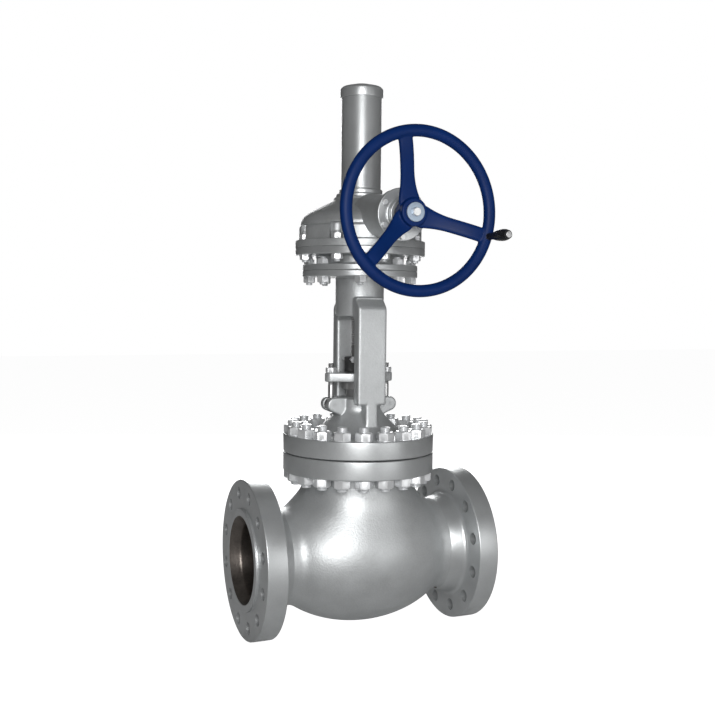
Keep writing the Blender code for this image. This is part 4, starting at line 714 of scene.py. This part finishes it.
yoke = object_of(
    "bonnet_yoke_casting", lathe(neck),
    upright(slab(lug_outline(), -LUG_HALF_Y, -LUG_SLOT_HALF_Y, 0.004)),
    upright(slab(lug_outline(), LUG_SLOT_HALF_Y, LUG_HALF_Y, 0.004)),
    leg(1), leg(-1), lathe(hub),
    *[arm_part(outline, sign) for outline in (arm_plate, arm_head, window_corner) for sign in (1, -1)])
cast(yoke, 0.0021, 3)
fit(yoke, "bonnet_yoke", crease=45)
fit(object_of("lug_core", lug_middle()), "bonnet_yoke")

turned_piece(
    "yoke_flange", "bonnet_yoke",
    [(HUB_BORE_R, 0.738), (HUB_R + GAP, 0.738), (HUB_R + GAP, YOKE_FLANGE_LOW_Z),
     (YOKE_FLANGE_R, YOKE_FLANGE_LOW_Z), (YOKE_FLANGE_R, YOKE_FLANGE_TOP_Z), (HUB_BORE_R, YOKE_FLANGE_TOP_Z)],
    [0.001, 0.001, 0.010, 0.003, 0.002, 0.001], coat=smooth_coat)
nut_ring("mounting_nuts_lower", "bonnet_yoke", YOKE_FLANGE_LOW_Z, -1, CASE_BOLTS, MOUNT_BOLT_CIRCLE_R,
         np.pi / CASE_BOLTS, 0.0165, 0.016, CASE_BOLT_R, 0.006)


# Gland

def gland_outline():
    """Plan of the gland flange: an arc round the stem on each side, and a half circle round each
    eyebolt."""
    end = np.linspace(-np.pi / 2, np.pi / 2, 16)
    waist = np.radians(np.linspace(25, -25, 9))
    right = np.stack([LUG_X + GLAND_END_R * np.cos(end), GLAND_END_R * np.sin(end)], axis=1)
    upper = GLAND_WAIST_R * np.stack([np.sin(waist), np.cos(waist)], axis=1)
    return np.concatenate([right, upper, -right, -upper])


gland_plate = object_of("gland_plate", slab(gland_outline(), GLAND_LOW_Z, GLAND_TOP_Z, 0.0035))
carve(gland_plate, lathe([(0, 0.44), (GLAND_BORE_R, 0.44), (GLAND_BORE_R, 0.51), (0, 0.51)], 48))
fit(gland_plate, "gland_flange")
turned_piece(
    "gland_sleeve", "gland_follower",
    [(0.0226, 0.3954), (0.0350, 0.3954), (0.0350, 0.443), (0.045, 0.443), (0.045, GLAND_LOW_Z - GAP),
     (0.0226, GLAND_LOW_Z - GAP)],
    [0.001, 0.001, 0.001, 0.0025, 0.0015, 0.001], 72, 4)

eye_section = rounded(
    [(EYE_HOLE_R, -EYE_HALF_Y), (EYE_R, -EYE_HALF_Y), (EYE_R, EYE_HALF_Y), (EYE_HOLE_R, EYE_HALF_Y)],
    0.0025, 4)
pin_section = rounded(
    [(0, -LUG_HALF_Y), (LUG_PIN_R, -LUG_HALF_Y), (LUG_PIN_R, LUG_HALF_Y), (0, LUG_HALF_Y)], 0.001, 3, False)
shank_z = np.concatenate([[0.4145, 0.4145], np.linspace(0.455, 0.5135, 31), [0.5145, 0.5145]])
shank_r = np.concatenate([[0, 0.0078], np.where(np.arange(31) % 2, 0.0072, 0.0079), [0.006, 0]])
for side, x in (("left", -LUG_X), ("right", LUG_X)):
    eye = to_front(lathe(eye_section, 48), (x, 0, LUG_Z))
    shank = lathe(np.stack([shank_r, shank_z], axis=1), 24) + [x, 0, 0]
    fit(object_of(f"eyebolt_{side}", eye, shank), f"gland_eyebolt_{side}")
    fit(object_of(f"lug_pin_{side}", to_front(lathe(pin_section, 32), (x, 0, LUG_Z))), f"eyebolt_pin_{side}")
    nut = hex_nut(GLAND_NUT_R, GLAND_TOP_Z + GAP, 0.5028, 0.0075) + [x, 0, 0]
    fit(object_of(f"gland_hex_nut_{side}", nut), f"gland_nut_{side}")


# Stem, clamp, seat and disc

def stem_profile():
    """Half section of the stem. Along the thread the radius steps between root and crest, at
    even heights."""
    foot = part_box("stem")[0][2]
    z = np.linspace(0.56, 1.125, 227)
    thread = np.stack([np.where(np.arange(227) % 2, 0.0205, 0.0219), z], axis=1)
    plain = [(0, foot), (0.029, foot), (0.029, foot + 0.012), (STEM_R, foot + 0.012), (STEM_R, 0.232),
             (0.029, 0.244), (0.029, 0.2554), (STEM_R, 0.2614), (STEM_R, 0.555)]
    return np.concatenate([plain, thread, [(0.0165, STEM_TOP_Z), (0, STEM_TOP_Z)]])


fit(object_of("stem_screw", lathe(stem_profile(), 40)), "stem", "stem_unit")

CLAMP_LOW_Z = 0.4905
CLAMP_TOP_Z = 0.5305
turned_piece(
    "stem_clamp", "stem_guide",
    [(0.0223, CLAMP_LOW_Z), (0.0398, CLAMP_LOW_Z), (0.0398, CLAMP_TOP_Z), (0.0223, CLAMP_TOP_Z)],
    [0.001, 0.003, 0.003, 0.001], 64, 4, body="stem_unit")
shoe_half_y = ARM_INNER_Y - 0.0008
shoe_half_x = 0.0205
shoe_plan = rounded(
    [(-shoe_half_x, -shoe_half_y), (shoe_half_x, -shoe_half_y), (shoe_half_x, shoe_half_y),
     (-shoe_half_x, shoe_half_y)], 0.004, 4)
shoes = object_of("stem_clamp_shoes", slab(shoe_plan, CLAMP_LOW_Z + 0.0001, CLAMP_LOW_Z + 0.022, 0.002))
carve(shoes, lathe([(0, 0.48), (0.030, 0.48), (0.030, 0.54), (0, 0.54)], 48))
fit(shoes, "stem_guide", "stem_unit")

(_, _, seat_low), (_, _, seat_high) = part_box("seat_ring")
turned_piece(
    "seat_rim", "seat_ring",
    [(PORT_R, seat_low), (0.1088, seat_low), (0.1088, 0.0123), (0.117, 0.0123), (0.117, 0.0173),
     (0.112, seat_high), (PORT_R, seat_high)],
    0.0012, 96, 3)
(_, _, disc_low), (_, _, disc_high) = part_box("disc")
disc = rounded(
    [(0, disc_low), (0.0998, disc_low), (0.1085, disc_low + 0.005), (0.1085, disc_low + 0.018),
     (0.048, disc_low + 0.030), (0.048, disc_high), (0.0405, disc_high), (0.0405, disc_high - 0.038),
     (0, disc_high - 0.038)],
    [0, 0.001, 0.001, 0.002, 0.005, 0.002, 0.001, 0.001, 0], 4, False)
fit(object_of("disc_plug", lathe(disc)), "disc", "disc_unit")


# Gear case

turned_piece(
    "gear_case_spool", "gear_case_base",
    [(HUB_BORE_R, CASE_FOOT_Z), (YOKE_FLANGE_R, CASE_FOOT_Z), (YOKE_FLANGE_R, CASE_FOOT_TOP_Z),
     (SPOOL_R, CASE_FOOT_TOP_Z), (SPOOL_R, CASE_FLANGE_LOW_Z), (CASE_FLANGE_R, CASE_FLANGE_LOW_Z),
     (CASE_FLANGE_R, CASE_FLANGE_TOP_Z), (SPOOL_BORE_R, CASE_FLANGE_TOP_Z), (SPOOL_BORE_R, 0.800),
     (HUB_BORE_R, 0.790)],
    [0.001, 0.0025, 0.003, 0.007, 0.007, 0.003, 0.0015, 0.002, 0.002, 0.001], coat=smooth_coat)

case_nut = (0.0150, 0.0145, CASE_BOLT_R)
mount_joint = (CASE_BOLTS, MOUNT_BOLT_CIRCLE_R, np.pi / CASE_BOLTS, *case_nut)
case_joint = (CASE_BOLTS, CASE_BOLT_CIRCLE_R, 0, *case_nut)
nut_ring("mounting_nuts_upper", "gear_case_base", CASE_FOOT_TOP_Z, 1, *mount_joint, 0.005)
nut_ring("case_nuts_lower", "gear_case_base", CASE_FLANGE_LOW_Z, -1, *case_joint, 0.006)

dome = rounded(
    [(DOME_ROOM_R, CASE_FLANGE_TOP_Z + GAP), (CASE_FLANGE_R, CASE_FLANGE_TOP_Z + GAP),
     (CASE_FLANGE_R, COVER_FLANGE_TOP_Z), (DOME_SIDE_R, COVER_FLANGE_TOP_Z), (DOME_SIDE_R, 0.876),
     (DOME_BAND_R, 0.8805), (DOME_BAND_R, 0.888), (0.153, 0.906), (0.138, 0.917), (0.074, 0.949),
     (DOME_NECK_R, TUBE_FOOT_Z - GAP), (DOME_NECK_BORE_R, TUBE_FOOT_Z - GAP), (DOME_NECK_BORE_R, 0.945),
     (0.068, 0.940), (0.114, 0.900), (DOME_ROOM_R, 0.886)],
    [0.001, 0.0015, 0.003, 0.003, 0.004, 0.002, 0.004, 0.010, 0.014, 0.005, 0.002, 0.001, 0.002, 0.004, 0.004,
     0.004])
pocket = rounded(
    [(0, COVER_FLANGE_TOP_Z), (POCKET_R, COVER_FLANGE_TOP_Z), (POCKET_R, 0.884), (0, 0.884)], 0.003, 4, False)
cover = object_of("gear_case_dome", lathe(dome, 144))
carve(cover, ring_of(lathe(pocket, 32), CASE_BOLTS, CASE_BOLT_CIRCLE_R))
fit(cover, "gear_case_cover")

nut_ring("case_nuts_upper", "gear_case_cover", COVER_FLANGE_TOP_Z, 1, *case_joint, 0.006)

turned_piece(
    "shaft_barrel", "gear_case_cover",
    [(BARREL_BORE_R, 0.095), (0.068, 0.095), (0.060, 0.135), (BARREL_R, 0.160), (BARREL_R, BARREL_END),
     (BARREL_BORE_R, BARREL_END)],
    [0.001, 0.001, 0.012, 0.012, 0.002, 0.001], 96, lay=to_front)
cap_back = BARREL_END + GAP
cap_face = cap_back + 0.016
turned_piece(
    "barrel_cap", "bearing_cap",
    [(CAP_BORE_R, cap_back), (CAP_R, cap_back), (CAP_R, cap_face), (CAP_COLLAR_R, cap_face),
     (CAP_COLLAR_R, 0.2783), (SEAL_ROOM_R, 0.2783), (SEAL_ROOM_R, 0.2693), (CAP_BORE_R, 0.2693)],
    [0.001, 0.0015, 0.0025, 0.004, 0.003, 0.001, 0.001, 0.001], 96, lay=to_front, coat=smooth_coat)
cap_screw = hex_nut(0.0075, 0.0, 0.0072) + [CAP_SCREW_CIRCLE_R, 0, cap_face + GAP]
for index in range(CAP_SCREWS):
    screw = to_front(turned(cap_screw, -np.pi / 2 - index * 2 * np.pi / CAP_SCREWS))
    fit(object_of(f"cap_hex_screw_{index + 1}", screw), f"cap_screw_{index + 1}")


# Stem cover tube

turned_piece(
    "tube_ring", "tube_lock_ring",
    [(LOCK_RING_BORE_R, TUBE_FOOT_Z), (LOCK_RING_R, TUBE_FOOT_Z), (LOCK_RING_R, LOCK_RING_TOP_Z),
     (LOCK_RING_BORE_R, LOCK_RING_TOP_Z)],
    [0.001, 0.0015, 0.0025, 0.001], 96, 4, coat=smooth_coat)
turned_piece(
    "cover_tube", "stem_cover_tube",
    [(TUBE_BORE_R, TUBE_FOOT_Z), (TUBE_R, TUBE_FOOT_Z), (TUBE_R, LOCK_RING_TOP_Z + GAP),
     (TUBE_BAND_R, LOCK_RING_TOP_Z + GAP), (TUBE_BAND_R, TUBE_BAND_TOP_Z), (TUBE_R, TUBE_BAND_TOP_Z),
     (TUBE_R, TUBE_TOP_Z), (TUBE_BORE_R, TUBE_TOP_Z)],
    [0.001, 0.001, 0.001, 0.002, 0.003, 0.002, 0.001, 0.001], 96, 4, coat=smooth_coat)
tube_top = rounded(
    [(0, TUBE_TOP_Z + GAP), (TUBE_R + GAP, TUBE_TOP_Z + GAP), (TUBE_R + GAP, 1.222), (TUBE_CAP_R, 1.222),
     (TUBE_CAP_R, 1.246), (TUBE_CAP_R - 0.006, 1.252), (0.030, 1.252), (0.027, 1.258), (0, 1.258)],
    [0, 0.0005, 0.0005, 0.0015, 0.003, 0.003, 0.0015, 0.0015, 0], 4, False)
fit(object_of("tube_top", lathe(tube_top)), "tube_cap", coat=smooth_coat)


# Handwheel

def rim_grid():
    """Torus of oval section: P(t, a) = ((R + w cos a) cos t, (R + w cos a) sin t, d + h sin a)."""
    a = np.linspace(0, 2 * np.pi, 32, endpoint=False)
    section = [WHEEL_RIM_R + WHEEL_RIM_HALF_W * np.cos(a), -WHEEL_RIM_Y + WHEEL_RIM_HALF_T * np.sin(a)]
    return to_front(lathe(np.stack(section, axis=1), 200))


def spoke_grid(angle):
    """Flat arm from the hub to the rim. Its depth follows 3 q^2 - 2 q^3 of the share q of its
    reach, and its width falls with the square of the way from the root to the even part."""
    reach = np.linspace(SPOKE_START, WHEEL_RIM_R, 40)
    share = (reach - SPOKE_START) / (WHEEL_RIM_R - SPOKE_START)
    root_y = 0.021 - WHEEL_HUB_FRONT
    depth = root_y + (WHEEL_RIM_Y - root_y) * smooth_step(share)
    root = np.clip(1 - (reach - WHEEL_HUB_R) / SPOKE_ROOT_REACH, 0, 1)
    path = np.stack([reach * np.cos(angle), depth, SHAFT_Z + reach * np.sin(angle)], axis=1)
    across = [-np.sin(angle), 0, np.cos(angle)]
    half_w = SPOKE_HALF_W + 0.010 * root ** 2
    return sweep(path, across, [0, -1, 0], half_w, np.full(len(reach), SPOKE_HALF_T), 3.2)


wheel_hub = rounded(
    [(WHEEL_BORE_R, WHEEL_HUB_BACK), (WHEEL_HUB_R, WHEEL_HUB_BACK), (WHEEL_HUB_R, WHEEL_HUB_FRONT),
     (WHEEL_BORE_R, WHEEL_HUB_FRONT)],
    [0.001, 0.003, 0.003, 0.001], 4)
wheel = object_of(
    "handwheel_casting", rim_grid(), to_front(lathe(wheel_hub, 72)),
    *[spoke_grid(SPOKE_PHASE + 2 * np.pi * k / SPOKES) for k in range(SPOKES)])
cast(wheel, 0.0019, 4)
fit(wheel, "handwheel", "wheel_drive", crease=60)

washer_back = WHEEL_HUB_FRONT + GAP
washer_front = washer_back + 0.005
turned_piece(
    "hub_plate_washer", "hub_washer",
    [(HUB_WASHER_BORE_R, washer_back), (HUB_WASHER_R, washer_back), (HUB_WASHER_R, washer_front),
     (HUB_WASHER_BORE_R, washer_front)],
    0.0012, 64, 3, to_front, body="wheel_drive", coat=blued_zinc)
hub_screw = hex_nut(0.011, washer_front + GAP, washer_front + GAP + 0.008)
fit(object_of("hub_hex_screw", to_front(hub_screw)), "hub_screw", "wheel_drive")

handle_axis = (WHEEL_RIM_R * np.cos(SPOKE_PHASE), 0, SHAFT_Z + WHEEL_RIM_R * np.sin(SPOKE_PHASE))
(_, pin_front_y, _), (_, pin_back_y, _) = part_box("handle_bolt")
(_, grip_front_y, _), (_, grip_back_y, _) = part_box("handle_grip")
grip_low, grip_high = -grip_back_y, -grip_front_y
pin = rounded(
    [(0, -pin_back_y), (HANDLE_PIN_R, -pin_back_y), (HANDLE_PIN_R, grip_low - 0.0055),
     (HANDLE_PIN_HEAD_R, grip_low - 0.0055), (HANDLE_PIN_HEAD_R, grip_low - 0.0005),
     (HANDLE_PIN_R, grip_low - 0.0005), (HANDLE_PIN_R, grip_high + 0.0005),
     (HANDLE_PIN_HEAD_R, grip_high + 0.0005), (0.0080, -pin_front_y), (0, -pin_front_y)],
    [0, 0, 0, 0.001, 0.001, 0, 0, 0.001, 0.001, 0], 3, False)
fit(object_of("handle_pin", to_front(lathe(pin, 32), handle_axis)), "handle_bolt", "wheel_drive")


def sleeve_section():
    """Half section of the handle. Its radius runs straight between six radii, and is then
    averaged over five neighbours."""
    share = np.linspace(0, 1, 30)
    stations = [0, 0.16, 0.45, 0.72, 0.92, 1.0]
    radius = np.interp(share, stations, [0.0090, 0.0078, 0.0125, 0.0145, 0.0130, 0.0096])
    radius = np.convolve(np.pad(radius, 2, mode="edge"), np.ones(5) / 5, mode="valid")
    along = grip_low + share * (grip_high - grip_low)
    skin = np.stack([radius, along], axis=1)
    return np.concatenate([[[HANDLE_BORE_R, grip_low]], skin, [[HANDLE_BORE_R, grip_high]]])


sleeve = to_front(lathe(sleeve_section(), 48), handle_axis)
fit(object_of("handle_sleeve", sleeve), "handle_grip", "handle_unit")


# Floor and room

FLOOR_Z = -0.2105
FLOOR_REACH = 14
FLOOR_COLOUR = (0.58, 0.58, 0.58, 1)
FLOOR_OWN_LIGHT = 0.93
ROOM_LIGHT = 0.085


def pale_sheet():
    """Pale matt sheet that gives the camera a little light of its own and keeps shadows."""
    mat = bpy.data.materials.new("pale_floor")
    mat.use_nodes = True
    nodes, links = mat.node_tree.nodes, mat.node_tree.links
    shader = nodes["Principled BSDF"]
    shader.inputs["Base Color"].default_value = FLOOR_COLOUR
    shader.inputs["Roughness"].default_value = 0.9
    shader.inputs["Specular IOR Level"].default_value = 0.0
    ray = nodes.new("ShaderNodeLightPath")
    amount = nodes.new("ShaderNodeMath")
    amount.operation = "MULTIPLY"
    amount.inputs[1].default_value = FLOOR_OWN_LIGHT
    links.new(ray.outputs["Is Camera Ray"], amount.inputs[0])
    shader.inputs["Emission Color"].default_value = (1, 1, 1, 1)
    links.new(amount.outputs[0], shader.inputs["Emission Strength"])
    return mat


floor_mesh = bpy.data.meshes.new("floor")
floor_corners = [(x * FLOOR_REACH, y * FLOOR_REACH, FLOOR_Z) for x, y in ((-1, -1), (1, -1), (1, 1), (-1, 1))]
floor_mesh.from_pydata(floor_corners, [], [(0, 1, 2, 3)])
floor = bpy.data.objects.new("floor", floor_mesh)
bpy.context.collection.objects.link(floor)
floor.data.materials.append(pale_sheet())

world = bpy.data.worlds.new("soft_white_room")
bpy.context.scene.world = world
world.use_nodes = True
background = world.node_tree.nodes["Background"]
background.inputs["Color"].default_value = (1, 1, 1, 1)
ray = world.node_tree.nodes.new("ShaderNodeLightPath")
level = world.node_tree.nodes.new("ShaderNodeMapRange")
level.inputs["To Min"].default_value = ROOM_LIGHT
level.inputs["To Max"].default_value = 1.0
world.node_tree.links.new(ray.outputs["Is Camera Ray"], level.inputs["Value"])
world.node_tree.links.new(level.outputs["Result"], background.inputs["Strength"])


# Lamps and camera

def place_facing(obj, place, aim, roll=0.0):
    """Stand a lamp or camera at a place, with its back axis away from the aim and its side axis
    level, then turned by the roll."""
    place = np.array(place, float)
    back = place - np.array(aim, float)
    back /= np.linalg.norm(back)
    side = np.cross([0, 0, 1.0], back)
    side /= np.linalg.norm(side)
    up = np.cross(back, side)
    c, s = np.cos(roll), np.sin(roll)
    axes = np.stack([c * side + s * up, c * up - s * side, back], axis=1)
    obj.matrix_world = Matrix.Translation(place.tolist()) @ Matrix(axes.tolist()).to_4x4()
    bpy.context.collection.objects.link(obj)


for name, place, aim_z, size, watts in (("key", (-1.25, -3.3, 1.15), 0.35, 1.5, 90),
                                        ("fill", (1.35, -3.1, 0.55), 0.35, 1.8, 17),
                                        ("back", (1.2, 3.4, 1.3), 0.4, 1.8, 70)):
    light = bpy.data.lights.new(name, "AREA")
    light.size = size
    light.energy = watts
    lamp = bpy.data.objects.new(name, light)
    lamp.visible_camera = False
    place_facing(lamp, place, (0, 0, aim_z))

CAMERA_PLACE = (-1.0584, -2.4948, 0.6754)
CAMERA_AIM = (-0.00439, 0.0, 0.52687)
CAMERA_ROLL = np.radians(0.6136)
camera_data = bpy.data.cameras.new("camera")
camera_data.lens = 50.19
camera_data.sensor_width = 36
camera = bpy.data.objects.new("camera", camera_data)
place_facing(camera, CAMERA_PLACE, CAMERA_AIM, CAMERA_ROLL)
bpy.context.scene.camera = camera
bpy.context.scene.view_settings.view_transform = "Standard"
